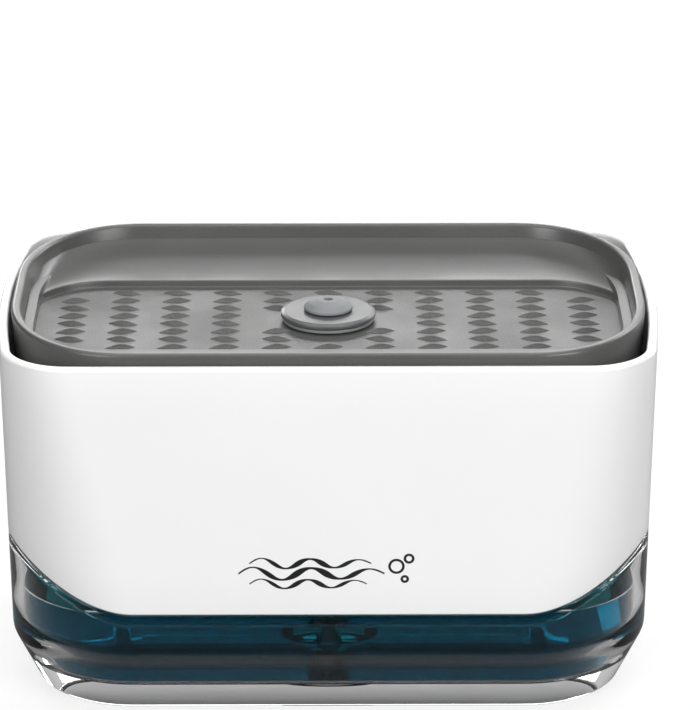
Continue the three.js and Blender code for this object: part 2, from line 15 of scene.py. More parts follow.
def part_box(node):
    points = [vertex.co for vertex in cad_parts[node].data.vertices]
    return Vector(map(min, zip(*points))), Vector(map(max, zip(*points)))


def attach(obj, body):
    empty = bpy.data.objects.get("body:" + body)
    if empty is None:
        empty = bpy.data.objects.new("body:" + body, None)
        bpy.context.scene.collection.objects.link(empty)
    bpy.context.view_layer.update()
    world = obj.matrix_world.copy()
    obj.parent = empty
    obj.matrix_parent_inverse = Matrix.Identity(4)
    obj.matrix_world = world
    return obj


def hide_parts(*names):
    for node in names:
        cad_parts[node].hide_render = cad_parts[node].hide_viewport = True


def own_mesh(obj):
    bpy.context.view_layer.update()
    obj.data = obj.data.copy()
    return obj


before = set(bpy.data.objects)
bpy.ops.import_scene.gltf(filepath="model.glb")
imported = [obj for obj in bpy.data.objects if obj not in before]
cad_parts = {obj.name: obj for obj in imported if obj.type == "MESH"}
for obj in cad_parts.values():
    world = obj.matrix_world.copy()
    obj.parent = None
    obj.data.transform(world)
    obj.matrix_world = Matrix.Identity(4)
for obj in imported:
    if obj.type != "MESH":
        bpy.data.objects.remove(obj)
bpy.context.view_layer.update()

bl_info = {
    "name": "Soap Dispenser Builder",
    "version": (1, 0, 0),
    "blender": (4, 5, 0),
    "location": "View3D > Sidebar > Dispenser",
    "description": "Builds the finished pieces and the studio of a press-top soap dispenser",
    "category": "Add Mesh",
}

MM = 0.001

# ---------------------------------------------------------------- sizes read from the frame

DRAFT = 0.0214  # how far each side of the body leans in, per unit down

sleeve_low, sleeve_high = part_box("outer_sleeve")
_, tank_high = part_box("tank")
_, soap_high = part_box("liquid_soap")
tray_low, tray_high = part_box("sponge_tray")
deck_low, deck_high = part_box("deck")
cap_low, cap_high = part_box("closure_cap")

RIM_Z = sleeve_high.z
EDGE_Z = sleeve_low.z  # lower edge of the sleeve across the front and the back
RIM_ROUND = 0.9 * MM
END_BOW = 2.2 * MM  # how far the ends fall back BOW_REACH from the middle
BOW_REACH = 35 * MM
END_STEPS = 4  # points on each half of an end's straight length
HALF_WIDTH = 72.7 * MM  # outside of the sleeve at its rim, in the middle of its bowed ends
HALF_DEPTH = sleeve_high.y + RIM_ROUND * DRAFT
TANK_RIM_Z = tank_high.z

SLEEVE_WALL = 2.2 * MM
TANK_WALL = 2.2 * MM
GAP = 0.3 * MM  # kept between pieces that touch
UPPER_INSET = SLEEVE_WALL + GAP
UPPER_INSIDE = UPPER_INSET + TANK_WALL + 0.1 * MM
STEP_DEPTH = 3.2 * MM  # the tank's inside starts to step in this far under the sleeve's edge
STEP_TOP = 0.6 * MM
TANK_FLOOR_Z = 6.6 * MM
WELL_RADIUS = 11.2 * MM
WELL_Z = 3.4 * MM
LEVEL_BELOW = 13.5 * MM  # heights of the tank stay level under this, and climb with the edge above it

TRAY_RIM_Z = tray_high.z
SKIRT_Z = tray_low.z
SKIRT_LEAN = 1 / 18
TRAY_HALF_WIDTH = tray_high.x + 0.8 * MM * SKIRT_LEAN
TRAY_HALF_DEPTH = tray_high.y + 0.8 * MM * SKIRT_LEAN
TRAY_CORNER_X = 27.2 * MM
TRAY_CORNER_Y = 36.2 * MM
TRAY_CORNER_POWER = 2 / 2.13
TRAY_WALL = 2 * MM
TRAY_FLOOR_Z = 76 * MM
FLOOR_HALF_WIDTH = 66.2 * MM
FLOOR_HALF_DEPTH = 22.4 * MM
FLOOR_CORNER = 17 * MM
HUB_HOLE = 8.5 * MM
BARREL_RADIUS = 7.2 * MM
BARREL_SEAT_Z = 22 * MM  # of the spring, on the bottom of the barrel
TAIL_RADIUS = 4.2 * MM

CORNER_STEPS = 24  # points on each rounded corner of a ring
TURN_STEPS = 64  # points on a turned ring
ARC_STEP = math.radians(15)
SMOOTH_ANGLE = math.radians(32)
QUADRANTS = ((1, 1), (-1, 1), (-1, -1), (1, -1))
STEP_LAYER = "ring_step"

# ---------------------------------------------------------------- outlines and rings


def clamp(value, low=0.0, high=1.0):
    return max(low, min(high, value))


def mix(a, b, share):
    return a + (b - a) * share


def smooth(share):
    share = clamp(share)
    return share * share * (3 - 2 * share)


def rounded(corners, loop=False):
    """Outline through (across, up, radius) corners, with an arc of that radius at each one."""
    count = len(corners)
    outline = []
    for place, (across, up, radius) in enumerate(corners):
        here = Vector((across, up))
        at_end = not loop and place in (0, count - 1)
        if radius == 0 or at_end:
            outline.append((across, up))
            continue
        before = (Vector(corners[place - 1][:2]) - here).normalized()
        after = (Vector(corners[(place + 1) % count][:2]) - here).normalized()
        half = before.angle(after) / 2
        turn = math.pi - 2 * half
        centre = here + (before + after).normalized() * (radius / math.sin(half))
        start = here + before * (radius / math.tan(half)) - centre
        sign = 1 if start.angle_signed(here - centre) < 0 else -1
        steps = max(2, math.ceil(turn / ARC_STEP))
        for step in range(steps + 1):
            spoke = start.copy()
            spoke.rotate(Matrix.Rotation(sign * turn * step / steps, 2))
            outline.append(tuple(centre + spoke))
    return outline


def divided(outline, longest):
    """The same outline, with its long stretches divided."""
    fine = [outline[0]]
    for a, b in zip(outline, outline[1:]):
        parts = max(1, math.ceil(math.dist(a, b) / longest))
        fine += [tuple(mix(p, q, part / parts) for p, q in zip(a, b)) for part in range(1, parts + 1)]
    return fine


def corner_ring(place):
    """A ring from place(angle, reach), repeated in all four quadrants.

    The angle goes from 0 to 90 degrees over the corner. The reach grows from 0 in the middle of the end
    to 1 where the corner starts.
    """
    stops = [(0.0, (2 * step + 1) / (2 * END_STEPS + 1)) for step in range(END_STEPS)]
    stops += [(math.pi / 2 * step / (CORNER_STEPS - 1), 1.0) for step in range(CORNER_STEPS)]
    quarter = [place(angle, reach) for angle, reach in stops]
    ring = []
    for number, (sign_x, sign_y) in enumerate(QUADRANTS):
        run = quarter if number % 2 == 0 else reversed(quarter)
        ring += [(sign_x * x, sign_y * y, z) for x, y, z in run]
    return ring


def circle_ring(radius, z, count=4 * (CORNER_STEPS + END_STEPS)):
    spokes = [(place + 0.5) / count * 2 * math.pi for place in range(count)]
    return [(radius * math.cos(spoke), radius * math.sin(spoke), z) for spoke in spokes]


def edge_height(angle):
    """Height of the sleeve's lower edge round a corner: level in front, higher at the ends."""
    sizes = bpy.context.scene.dispenser_sizes
    return EDGE_Z + sizes.edge_rise * smooth((math.pi / 2 - angle) / sizes.edge_turn)


def climbed(level, angle):
    """Height at a corner angle of what is at this level in front: near the edge it climbs with it."""
    below = clamp((level - LEVEL_BELOW) / (EDGE_Z - 1.1 * STEP_DEPTH - LEVEL_BELOW))
    above = clamp((TANK_RIM_Z - MM - level) / (TANK_RIM_Z - EDGE_Z - 2 * MM))
    return level + (edge_height(angle) - EDGE_Z) * min(below, above)


def body_point(inset, z, angle, reach):
    """Point of the body's skin at height z, inset from it."""
    sizes = bpy.context.scene.dispenser_sizes
    lean = (RIM_Z - z) * DRAFT
    corner = mix(sizes.corner_low, sizes.corner_top, clamp((z - EDGE_Z) / (RIM_Z - EDGE_Z)))
    radius = max(corner - inset, MM)
    y = (HALF_DEPTH - lean - inset - radius) * reach + radius * math.sin(angle)
    x = HALF_WIDTH - lean - inset - radius + radius * math.cos(angle) - END_BOW * (y / BOW_REACH) ** 2
    return x, y, z


def body_ring(inset, level):
    return corner_ring(lambda angle, reach: body_point(inset, climbed(level, angle), angle, reach))


def level_ring(inset, z):
    """A ring of the body that stays level. The inset may depend on the corner angle."""
    at = inset if callable(inset) else lambda angle: inset
    return corner_ring(lambda angle, reach: body_point(at(angle), z, angle, reach))


def tray_ring(inset, z):
    """One ring of the tray's rim and skirt, whose long soft corners leave crescents inside the sleeve."""

    def place(angle, reach):
        step = inset + (TRAY_RIM_Z - z) * SKIRT_LEAN
        across = (TRAY_CORNER_X - step) * math.cos(angle) ** TRAY_CORNER_POWER
        along = (TRAY_CORNER_Y - step) * max(math.sin(angle), 0) ** TRAY_CORNER_POWER
        straight = (TRAY_HALF_DEPTH - TRAY_CORNER_Y) * reach
        return TRAY_HALF_WIDTH - TRAY_CORNER_X + across, straight + along, z

    return corner_ring(place)


def floor_ring(outset, z):
    """One ring of the tray's floor, outset from its flat part."""

    def place(angle, reach):
        radius = FLOOR_CORNER + outset
        across = FLOOR_HALF_WIDTH - FLOOR_CORNER + radius * math.cos(angle)
        along = (FLOOR_HALF_DEPTH - FLOOR_CORNER) * reach + radius * math.sin(angle)
        return across, along, z

    return corner_ring(place)


def between(ring_a, ring_b, share, lift=0.0):
    """A ring part of the way from one to another, lifted off the straight line between them."""
    return [tuple(mix(p, q, share) + (lift if axis == 2 else 0) for axis, (p, q) in enumerate(zip(a, b)))
            for a, b in zip(ring_a, ring_b)]


# ---------------------------------------------------------------- modelling with operators


def clear_selection():
    if bpy.context.mode != "OBJECT":
        bpy.ops.object.mode_set(mode="OBJECT")
    bpy.ops.object.select_all(action="DESELECT")


def place_selected(piece, ring):
    """Move the selected points, each of which knows its step on the ring, onto a ring."""
    mesh = bmesh.from_edit_mesh(piece.data)
    layer = mesh.verts.layers.int[STEP_LAYER]
    for vertex in mesh.verts:
        if vertex.select:
            vertex.co = ring[vertex[layer]]
    bmesh.update_edit_mesh(piece.data)


def skin(name, rings, loop=False):
    """Closed shell over a stack of rings: a circle on the first is extruded onto each one after it.

    The stack closes on itself with loop, and otherwise has a face over each end.
    """
    clear_selection()
    bpy.ops.mesh.primitive_circle_add(vertices=len(rings[0]), fill_type="NOTHING" if loop else "NGON")
    piece = bpy.context.object
    piece.name = piece.data.name = name
    steps = piece.data.attributes.new(STEP_LAYER, "INT", "POINT")
    steps.data.foreach_set("value", range(len(rings[0])))
    bpy.ops.object.mode_set(mode="EDIT")
    bpy.ops.mesh.select_all(action="SELECT")
    place_selected(piece, rings[0])
    for ring in rings[1:] + rings[:1] * loop:
        bpy.ops.mesh.extrude_edges_move()
        place_selected(piece, ring)
    if loop:
        bpy.ops.mesh.select_all(action="SELECT")
        bpy.ops.mesh.remove_doubles(threshold=1e-7)
    else:
        bpy.ops.mesh.edge_face_add()
    bpy.ops.mesh.select_all(action="SELECT")
    bpy.ops.mesh.normals_make_consistent(inside=False)
    bpy.ops.object.mode_set(mode="OBJECT")
    piece.data.attributes.remove(piece.data.attributes[STEP_LAYER])
    bpy.ops.object.shade_smooth_by_angle(angle=SMOOTH_ANGLE)
    return piece


def turned(name, corners, steps=TURN_STEPS):
    """Piece turned about the Z axis from a closed outline of (radius, z, rounding) corners."""
    rings = [circle_ring(radius, z, steps) for radius, z in rounded(corners, loop=True)]
    return skin(name, rings, loop=True)


def joined(name, pieces):
    clear_selection()
    for piece in pieces:
        piece.select_set(True)
    bpy.context.view_layer.objects.active = pieces[0]
    bpy.ops.object.join()
    pieces[0].name = pieces[0].data.name = name
    return pieces[0]


def apply_modifier(piece, kind, **settings):
    clear_selection()
    piece.select_set(True)
    bpy.context.view_layer.objects.active = piece
    modifier = piece.modifiers.new(kind.title(), kind)
    for setting, value in settings.items():
        setattr(modifier, setting, value)
    bpy.ops.object.modifier_apply(modifier=modifier.name)


def hand_over(piece, material, body, slot, *nodes):
    """Give a finished piece its material and its body, and hide the nodes it stands for. The slot is not
    used.
    """
    if len(piece.data.materials) == 0:
        piece.data.materials.append(material)
    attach(piece, body)
    if nodes:
        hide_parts(*nodes)
    return piece


# ---------------------------------------------------------------- node groups and materials


def new_group(name, inputs, outputs):
    """Empty shader node group with float or colour sockets: {name: default}."""
    group = bpy.data.node_groups.new(name, "ShaderNodeTree")
    for in_out, sockets in (("INPUT", inputs), ("OUTPUT", outputs)):
        for socket, default in sockets.items():
            kind = "NodeSocketColor" if isinstance(default, tuple) else "NodeSocketFloat"
            made = group.interface.new_socket(name=socket, in_out=in_out, socket_type=kind)
            if in_out == "INPUT":
                made.default_value = default
    ends = group.nodes.new("NodeGroupInput"), group.nodes.new("NodeGroupOutput")
    return group, ends[0], ends[1]


def add_node(tree, kind, settings=None, **values):
    """Add a node. Each value sets an input, or links it where the value is another node's output."""
    node = tree.nodes.new(kind)
    for setting, value in (settings or {}).items():
        setattr(node, setting, value)
    for key, value in values.items():
        numbered = key[0] == "i" and key[1:].isdigit()
        socket = node.inputs[int(key[1:]) if numbered else key.replace("_", " ")]
        if isinstance(value, bpy.types.NodeSocket):
            tree.links.new(value, socket)
        else:
            socket.default_value = value
    return node


def ranged(tree, value, low, high, to_low, to_high):
    """Map a value from one range to another, held at both ends."""
    node = add_node(tree, "ShaderNodeMapRange", From_Min=low, From_Max=high, To_Min=to_low, To_Max=to_high)
    tree.links.new(value, node.inputs["Value"])
    return node.outputs["Result"]


def calculated(tree, operation, a, b):
    """The output of a maths node on two values."""
    return add_node(tree, "ShaderNodeMath", {"operation": operation}, i0=a, i1=b).outputs[0]


def noise(tree, scale, detail=2.0, stretch=None):
    """Noise on object coordinates, scale in features per metre, stretched along the axes if asked."""
    place = add_node(tree, "ShaderNodeTexCoord").outputs["Object"]
    if stretch:
        place = add_node(tree, "ShaderNodeMapping", Vector=place, Scale=stretch).outputs["Vector"]
    node = add_node(tree, "ShaderNodeTexNoise", Vector=place, Detail=detail)
    if isinstance(scale, bpy.types.NodeSocket):
        tree.links.new(scale, node.inputs["Scale"])
    else:
        node.inputs["Scale"].default_value = scale
    return node.outputs["Fac"]


def moulded_surface_group():
    """Fine moulding grain: a height, and a roughness that wanders between two values over the surface."""
    group, start, end = new_group(
        "Moulded surface",
        {"Grains per metre": 3000.0, "Roughness low": 0.2, "Roughness high": 0.3},
        {"Height": 0.0, "Roughness": 0.0},
    )
    grain = noise(group, start.outputs["Grains per metre"])
    group.links.new(grain, end.inputs["Height"])
    drift = noise(group, 55.0, detail=3.0)
    roughness = add_node(group, "ShaderNodeMapRange", From_Min=0.35, From_Max=0.65)
    group.links.new(drift, roughness.inputs["Value"])
    group.links.new(start.outputs["Roughness low"], roughness.inputs["To Min"])
    group.links.new(start.outputs["Roughness high"], roughness.inputs["To Max"])
    group.links.new(roughness.outputs["Result"], end.inputs["Roughness"])
    return group


def tone_group():
    """Plastic colour that drifts a little over the part and is flecked by its pigment."""
    group, start, end = new_group(
        "Plastic tone",
        {"Colour": (0.8, 0.8, 0.8, 1.0), "Drift": 0.03, "Flecks": 0.0, "Flecks per metre": 2500.0},
        {"Colour": (0.8, 0.8, 0.8, 1.0)},
    )
    drift = ranged(group, noise(group, 28.0), 0.3, 0.7, -1.0, 1.0)
    specks = noise(group, start.outputs["Flecks per metre"], detail=1.0)
    fleck = ranged(group, specks, 0.32, 0.68, -1.0, 1.0)
    slow = calculated(group, "MULTIPLY", drift, start.outputs["Drift"])
    quick = calculated(group, "MULTIPLY", fleck, start.outputs["Flecks"])
    gain = calculated(group, "ADD", calculated(group, "ADD", slow, quick), 1.0)
    scaled = add_node(group, "ShaderNodeVectorMath", {"operation": "SCALE"}, i0=start.outputs["Colour"])
    group.links.new(gain, scaled.inputs["Scale"])
    group.links.new(scaled.outputs[0], end.inputs["Colour"])
    return group


def shared_group(name, build):
    return bpy.data.node_groups.get(name) or build()


def new_material(name):
    """Material with only its output and a Principled shader."""
    material = bpy.data.materials.new(name)
    material.use_nodes = True
    tree = material.node_tree
    shader = next(node for node in tree.nodes if node.type == "BSDF_PRINCIPLED")
    return material, tree, shader


def moulded(name, colour, roughness, grain=3000.0, depth=0.004 * MM, drift=0.03, flecks=0.0,
            flecks_per_metre=2500.0, **sockets):
    """Moulded plastic or rubber: drifting tone, moulding grain and a roughness between two values."""
    material, tree, shader = new_material(name)
    tone = tree.nodes.new("ShaderNodeGroup")
    tone.node_tree = shared_group("Plastic tone", tone_group)
    tone.inputs["Colour"].default_value = (*colour, 1.0)
    tone.inputs["Drift"].default_value = drift
    tone.inputs["Flecks"].default_value = flecks
    tone.inputs["Flecks per metre"].default_value = flecks_per_metre
    surface = tree.nodes.new("ShaderNodeGroup")
    surface.node_tree = shared_group("Moulded surface", moulded_surface_group)
    surface.inputs["Grains per metre"].default_value = grain
    surface.inputs["Roughness low"].default_value = roughness[0]
    surface.inputs["Roughness high"].default_value = roughness[1]
    bump = add_node(tree, "ShaderNodeBump", Height=surface.outputs["Height"], Strength=1.0, Distance=depth)
    tree.links.new(tone.outputs["Colour"], shader.inputs["Base Color"])
    tree.links.new(surface.outputs["Roughness"], shader.inputs["Roughness"])
    tree.links.new(bump.outputs["Normal"], shader.inputs["Normal"])
    for socket, value in sockets.items():
        shader.inputs[socket.replace("_", " ")].default_value = value
    return material


def clear(name, ior, roughness, ripple, shine):
    """Clear plastic or liquid, whose surface ripples a little. The shine tints its reflections."""
    material, tree, shader = new_material(name)
    shader.inputs["Base Color"].default_value = (1.0, 1.0, 1.0, 1.0)
    shader.inputs["Specular Tint"].default_value = (*shine, 1.0)
    shader.inputs["Transmission Weight"].default_value = 1.0
    shader.inputs["IOR"].default_value = ior
    surface = tree.nodes.new("ShaderNodeGroup")
    surface.node_tree = shared_group("Moulded surface", moulded_surface_group)
    surface.inputs["Grains per metre"].default_value = 60.0
    surface.inputs["Roughness low"].default_value = roughness[0]
    surface.inputs["Roughness high"].default_value = roughness[1]
    bump = add_node(tree, "ShaderNodeBump", Height=surface.outputs["Height"], Strength=1.0, Distance=ripple)
    tree.links.new(surface.outputs["Roughness"], shader.inputs["Roughness"])
    tree.links.new(bump.outputs["Normal"], shader.inputs["Normal"])
    return material


def brushed_steel(name):
    """Drawn or polished steel: fine lines round the axis in its roughness and its surface."""
    material, tree, shader = new_material(name)
    lines = noise(tree, 900.0, detail=3.0, stretch=(1.0, 1.0, 6.0))
    shade = add_node(tree, "ShaderNodeValToRGB", Fac=lines)
    shade.color_ramp.elements[0].color = (0.42, 0.43, 0.44, 1.0)
    shade.color_ramp.elements[1].color = (0.62, 0.62, 0.63, 1.0)
    bump = add_node(tree, "ShaderNodeBump", Height=lines, Strength=1.0, Distance=0.003 * MM)
    tree.links.new(shade.outputs["Color"], shader.inputs["Base Color"])
    tree.links.new(ranged(tree, lines, 0.3, 0.7, 0.16, 0.3), shader.inputs["Roughness"])
    tree.links.new(bump.outputs["Normal"], shader.inputs["Normal"])
    shader.inputs["Metallic"].default_value = 1.0
    return material


def finish(name):
    """The material of that name, made the first time it is asked for."""
    made = bpy.data.materials.get(name)
    if made:
        return made
    colours = bpy.context.scene.dispenser_colours
    if name == "Gloss white sleeve":
        return moulded(name, colours.sleeve, (0.2, 0.26), grain=900.0, depth=0.001 * MM, drift=0.008)
    # Painted shade: the sleeve's inside is dark below the deck, standing in for the shade inside the casing
    if name == "Sleeve inside painted shade":
        return moulded(name, colours.inside_shade, (0.45, 0.6), drift=0.1)
    if name == "Clear tank":
        return clear(name, 1.49, (0.0, 0.012), 0.004 * MM, (0.35, 0.45, 0.5))
    if name == "Teal soap":
        material = clear(name, 1.34, (0.0, 0.01), 0.004 * MM, (0.1, 0.6, 0.75))
        tree = material.node_tree
        output = next(node for node in tree.nodes if node.type == "OUTPUT_MATERIAL")
        depth = add_node(tree, "ShaderNodeVolumeAbsorption", Color=(*colours.soap, 1.0),
                         Density=bpy.context.scene.dispenser_sizes.soap_density)
        tree.links.new(depth.outputs["Volume"], output.inputs["Volume"])
        return material
    if name == "Smooth tray grey":
        return moulded(name, colours.tray, (0.3, 0.38), grain=1500.0, depth=0.002 * MM, drift=0.05,
                       flecks=0.05)
    if name == "Textured tray grey":
        return moulded(name, colours.tray, (0.36, 0.48), grain=2600.0, depth=0.03 * MM, drift=0.05,
                       flecks=0.16)
    if name == "Dark grey plastic":
        return moulded(name, (0.045, 0.048, 0.052), (0.4, 0.52), depth=0.01 * MM, drift=0.08)
    if name == "Hub grey":
        return moulded(name, (0.085, 0.087, 0.088), (0.3, 0.4), depth=0.006 * MM, drift=0.06)
    if name == "Pump white":
        return moulded(name, (0.74, 0.74, 0.71), (0.3, 0.42), depth=0.005 * MM, drift=0.03)
    if name == "Milky plastic":
        return moulded(name, (0.68, 0.72, 0.71), (0.26, 0.36), depth=0.004 * MM, drift=0.04,
                       Transmission_Weight=0.35, IOR=1.5)
    if name == "Silicone":
        return moulded(name, (0.2, 0.21, 0.215), (0.5, 0.65), grain=1800.0, depth=0.006 * MM, drift=0.05)
    if name == "Spring steel":
        return brushed_steel(name)
    if name == "Black print":
        return moulded(name, (0.008, 0.008, 0.009), (0.3, 0.45), grain=5000.0, depth=0.002 * MM, drift=0.2)
    raise KeyError(name)


# ---------------------------------------------------------------- properties


class DispenserSizes(bpy.types.PropertyGroup):
    corner_top: FloatProperty(
        name="Rim corner", description="Plan corner radius of the sleeve at its rim",
        default=13 * MM, min=6 * MM, max=25 * MM, subtype="DISTANCE", unit="LENGTH")
    corner_low: FloatProperty(
        name="Tank corner", description="Plan corner radius of the tank",
        default=25 * MM, min=10 * MM, max=40 * MM, subtype="DISTANCE", unit="LENGTH")
    edge_rise: FloatProperty(
        name="Edge rise", description="How far the sleeve's lower edge climbs from the front to the ends",
        default=11.3 * MM, min=0, max=13 * MM, subtype="DISTANCE", unit="LENGTH")
    edge_turn: FloatProperty(
        name="Edge turn", description="Part of the corner over which the sleeve's lower edge climbs",
        default=math.radians(80), min=math.radians(20), max=math.radians(90), subtype="ANGLE",
        unit="ROTATION")
    soap_density: FloatProperty(
        name="Soap depth of colour", description="How fast the soap takes up light",
        default=330.0, min=0.0, max=2000.0)
    ridge_height: FloatProperty(
        name="Ridge height", description="Height of the tray's grip ridges over its floor",
        default=0.9 * MM, min=0.5 * MM, max=4 * MM, subtype="DISTANCE", unit="LENGTH")
    ridge_columns: IntProperty(
        name="Ridge columns", description="Columns of grip ridges on each side of the middle one",
        default=5, min=1, max=5)


class DispenserColours(bpy.types.PropertyGroup):
    sleeve: FloatVectorProperty(
        name="Sleeve", description="Colour of the outer sleeve",
        default=(0.86, 0.86, 0.86), min=0, max=1, subtype="COLOR")
    # Painted shade: this dark colour of the sleeve's inside stands in for the shade inside the casing
    inside_shade: FloatVectorProperty(
        name="Inside shade", description="Colour of the inside of the sleeve",
        default=(0.03, 0.03, 0.032), min=0, max=1, subtype="COLOR")
    soap: FloatVectorProperty(
        name="Soap", description="Colour that light keeps as it goes through the soap",
        default=(0.5, 0.85, 0.87), min=0, max=1, subtype="COLOR")
    tray: FloatVectorProperty(
        name="Tray", description="Colour of the sponge tray",
        default=(0.08, 0.081, 0.0785), min=0, max=1, subtype="COLOR")


class DispenserStudio(bpy.types.PropertyGroup):
    top_power: FloatProperty(
        name="Top light", description="Power of the softbox overhead", default=12.0, min=0, subtype="POWER")
    front_power: FloatProperty(
        name="Front lights", description="Power of each of the two softboxes in front",
        default=15.0, min=0, subtype="POWER")
    strip_power: FloatProperty(
        name="Strip light", description="Power of the tall strip on the right",
        default=1.6, min=0, subtype="POWER")
    rim_power: FloatProperty(
        name="Rim light", description="Power of the narrow light behind on the right",
        default=3.0, min=0, subtype="POWER")
    rear_power: FloatProperty(
        name="Rear strips", description="Power of each of the two strips behind, which draw bright edges",
        default=4.0, min=0, subtype="POWER")
    paper_glow: FloatProperty(
        name="Paper glow", description="Light that the paper gives off where the camera sees it",
        default=0.78, min=0, max=1)
    paper_through: FloatProperty(
        name="Paper through the tank", description="The same glow for paper seen through clear plastic",
        default=0.6, min=0, max=1)
    room_through: FloatProperty(
        name="Room seen through the tank", description="Brightness of the room seen through clear plastic",
        default=0.6, min=0, max=1)
    ambient: FloatProperty(
        name="Ambient", description="Brightness of the room round the set", default=0.06, min=0, max=2)


# ---------------------------------------------------------------- casing


def sleeve_outline():
    corners = [
        (0, EDGE_Z, 0.5 * MM),
        (0, RIM_Z, RIM_ROUND),
        (SLEEVE_WALL, RIM_Z, 0.6 * MM),
        (SLEEVE_WALL, EDGE_Z, 0.3 * MM),
    ]
    return divided(rounded(corners, loop=True), 9 * MM)


def faces_inwards(face):
    """True on faces that look towards the Z axis, as the inside of a wall does."""
    return face.normal.x * face.center.x + face.normal.y * face.center.y < 0 and abs(face.normal.z) < 0.5


class DISPENSER_OT_sleeve(bpy.types.Operator):
    """Build the white outer sleeve, with painted shade on its inside below the deck, and a lower edge that
    climbs at the ends
    """
    bl_idname = "dispenser.sleeve"
    bl_label = "Outer sleeve"

    def execute(self, context):
        piece = skin("white_sleeve", [body_ring(*point) for point in sleeve_outline()], loop=True)
        piece.data.materials.append(finish("Gloss white sleeve"))
        piece.data.materials.append(finish("Sleeve inside painted shade"))
        # Inward faces below the deck get the dark painted shade; above the deck the inside stays white
        for face in piece.data.polygons:
            face.material_index = 1 if faces_inwards(face) and face.center.z < deck_high.z else 0
        hand_over(piece, None, "casing", "white_gloss", "outer_sleeve")
        return {"FINISHED"}


TANK_FOOT = (  # inside of the tank, from its straight wall down to its floor
    (TANK_WALL, EDGE_Z - STEP_DEPTH, 1.2 * MM),
    (TANK_WALL, 15.07 * MM, 4 * MM),
    (6.26 * MM, TANK_FLOOR_Z, 1.8 * MM),
)


def tank_outside():
    step_z = EDGE_Z - GAP
    return rounded([
        (9 * MM, 0, 0),
        (5.87 * MM, 0, 1.8 * MM),
        (0, 12.25 * MM, 5 * MM),
        (0, step_z, 0.5 * MM),
        (UPPER_INSET, step_z, 0.3 * MM),
        (UPPER_INSET, TANK_RIM_Z, 0.5 * MM),
        (UPPER_INSET + TANK_WALL / 2, TANK_RIM_Z, 0),
    ])


def tank_inside():
    return rounded([
        (UPPER_INSIDE - 0.8 * MM, TANK_RIM_Z, 0),
        (UPPER_INSIDE, TANK_RIM_Z, 0.5 * MM),
        (UPPER_INSIDE, EDGE_Z - STEP_TOP, 1.2 * MM),
        *TANK_FOOT,
        (11 * MM, TANK_FLOOR_Z, 0),
    ])


def well_outline(radius, floor_z, top_z):
    return rounded([
        (radius + 2 * MM, top_z, 0),
        (radius, top_z, 0.5 * MM),
        (radius - 0.6 * MM, floor_z, 0.8 * MM),
        (radius - 3 * MM, floor_z, 0),
    ])


class DISPENSER_OT_tank(bpy.types.Operator):
    """Build the clear tank with its chamfered foot, its stepped-in upper wall and the well in its floor"""
    bl_idname = "dispenser.tank"
    bl_label = "Clear tank"

    def execute(self, context):
        rings = [body_ring(*point) for point in divided(tank_outside(), 6 * MM)]
        rings += [body_ring(*point) for point in divided(tank_inside(), 6 * MM)]
        rings += [circle_ring(*point) for point in well_outline(WELL_RADIUS, WELL_Z, TANK_FLOOR_Z)]
        hand_over(skin("clear_tank", rings), finish("Clear tank"), "casing", "clear_plastic", "tank")
        return {"FINISHED"}


def soap_inset(z):
    """Inset of the soap at height z, just clear of the tank's inside, by corner angle."""

    def inset(angle):
        start = edge_height(angle) - STEP_DEPTH
        return mix(TANK_WALL, UPPER_INSIDE, clamp((z - start) / (STEP_DEPTH - STEP_TOP))) + GAP

    return inset


SOAP_WALL_STEPS = 5
MENISCUS = ((0.35 * MM, 0.25 * MM), (0.9 * MM, 0.42 * MM), (2.0 * MM, 0.5 * MM))  # inwards and down


class DISPENSER_OT_soap(bpy.types.Operator):
    """Build the body of soap in the tank, with its surface drawn up where it meets the wall"""
    bl_idname = "dispenser.soap"
    bl_label = "Soap"

    def execute(self, context):
        top = soap_high.z
        start = EDGE_Z - STEP_DEPTH
        well = reversed(well_outline(WELL_RADIUS - GAP, WELL_Z + GAP, TANK_FLOOR_Z + GAP))
        foot = rounded([(TANK_FOOT[0][0], start, 0), *TANK_FOOT[1:], (11 * MM, TANK_FLOOR_Z, 0)])
        rings = [circle_ring(*point) for point in well]
        for inset, z in reversed(foot):
            rings.append(level_ring(inset + GAP, z + GAP * (z <= TANK_FLOOR_Z + MM)))
        for step in range(1, SOAP_WALL_STEPS + 1):
            z = mix(start, top, step / SOAP_WALL_STEPS)
            rings.append(level_ring(soap_inset(z), z))
        wall = soap_inset(top)
        for inwards, down in MENISCUS:
            rings.append(level_ring(lambda angle: wall(angle) + inwards, top - down))
        surface = top - MENISCUS[-1][1]
        clear_of = 0.5 * MM  # room round the pump, which dips into the soap
        tube_low, tube_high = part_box("suction_tube")
        tail_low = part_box("pump_cylinder")[0].z - GAP
        barrel, tail, tube = BARREL_RADIUS + clear_of, TAIL_RADIUS + clear_of, tube_high.x + clear_of
        dip = rounded([
            (barrel + 4 * MM, surface, 0), (barrel, surface, 0.3 * MM),
            (barrel, BARREL_SEAT_Z - 1.3 * MM, 0.4 * MM), (tail, BARREL_SEAT_Z - 3.2 * MM, 0.3 * MM),
            (tail, tail_low, 0.3 * MM), (tube, tail_low, 0.2 * MM), (tube, tube_low.z - GAP, 0)])
        rings += [circle_ring(*point) for point in dip]
        hand_over(skin("teal_soap", rings), finish("Teal soap"), "casing", "soap", "liquid_soap")
        return {"FINISHED"}


def on_front(x, z, proud):
    """Point on the sleeve's front face, standing proud of it."""
    return x, -(HALF_DEPTH - (RIM_Z - z) * DRAFT) - proud, z


def stroke(name, path, width, steps, loop=False):
    """Thin printed stroke along path(share), with a width that may change along it."""
    film, root = 0.03 * MM, -0.05 * MM
    rings = []
    for step in range(steps if loop else steps + 1):
        share = step / steps
        here, ahead = Vector(path(share)), Vector(path(share + 0.01))
        side = (ahead - here).orthogonal().normalized() * width(share) / 2
        rings.append([on_front(*(here + side * sign), proud) for sign, proud in
                      ((1, root), (1, film), (-1, film), (-1, root))])
    return skin(name, rings, loop)


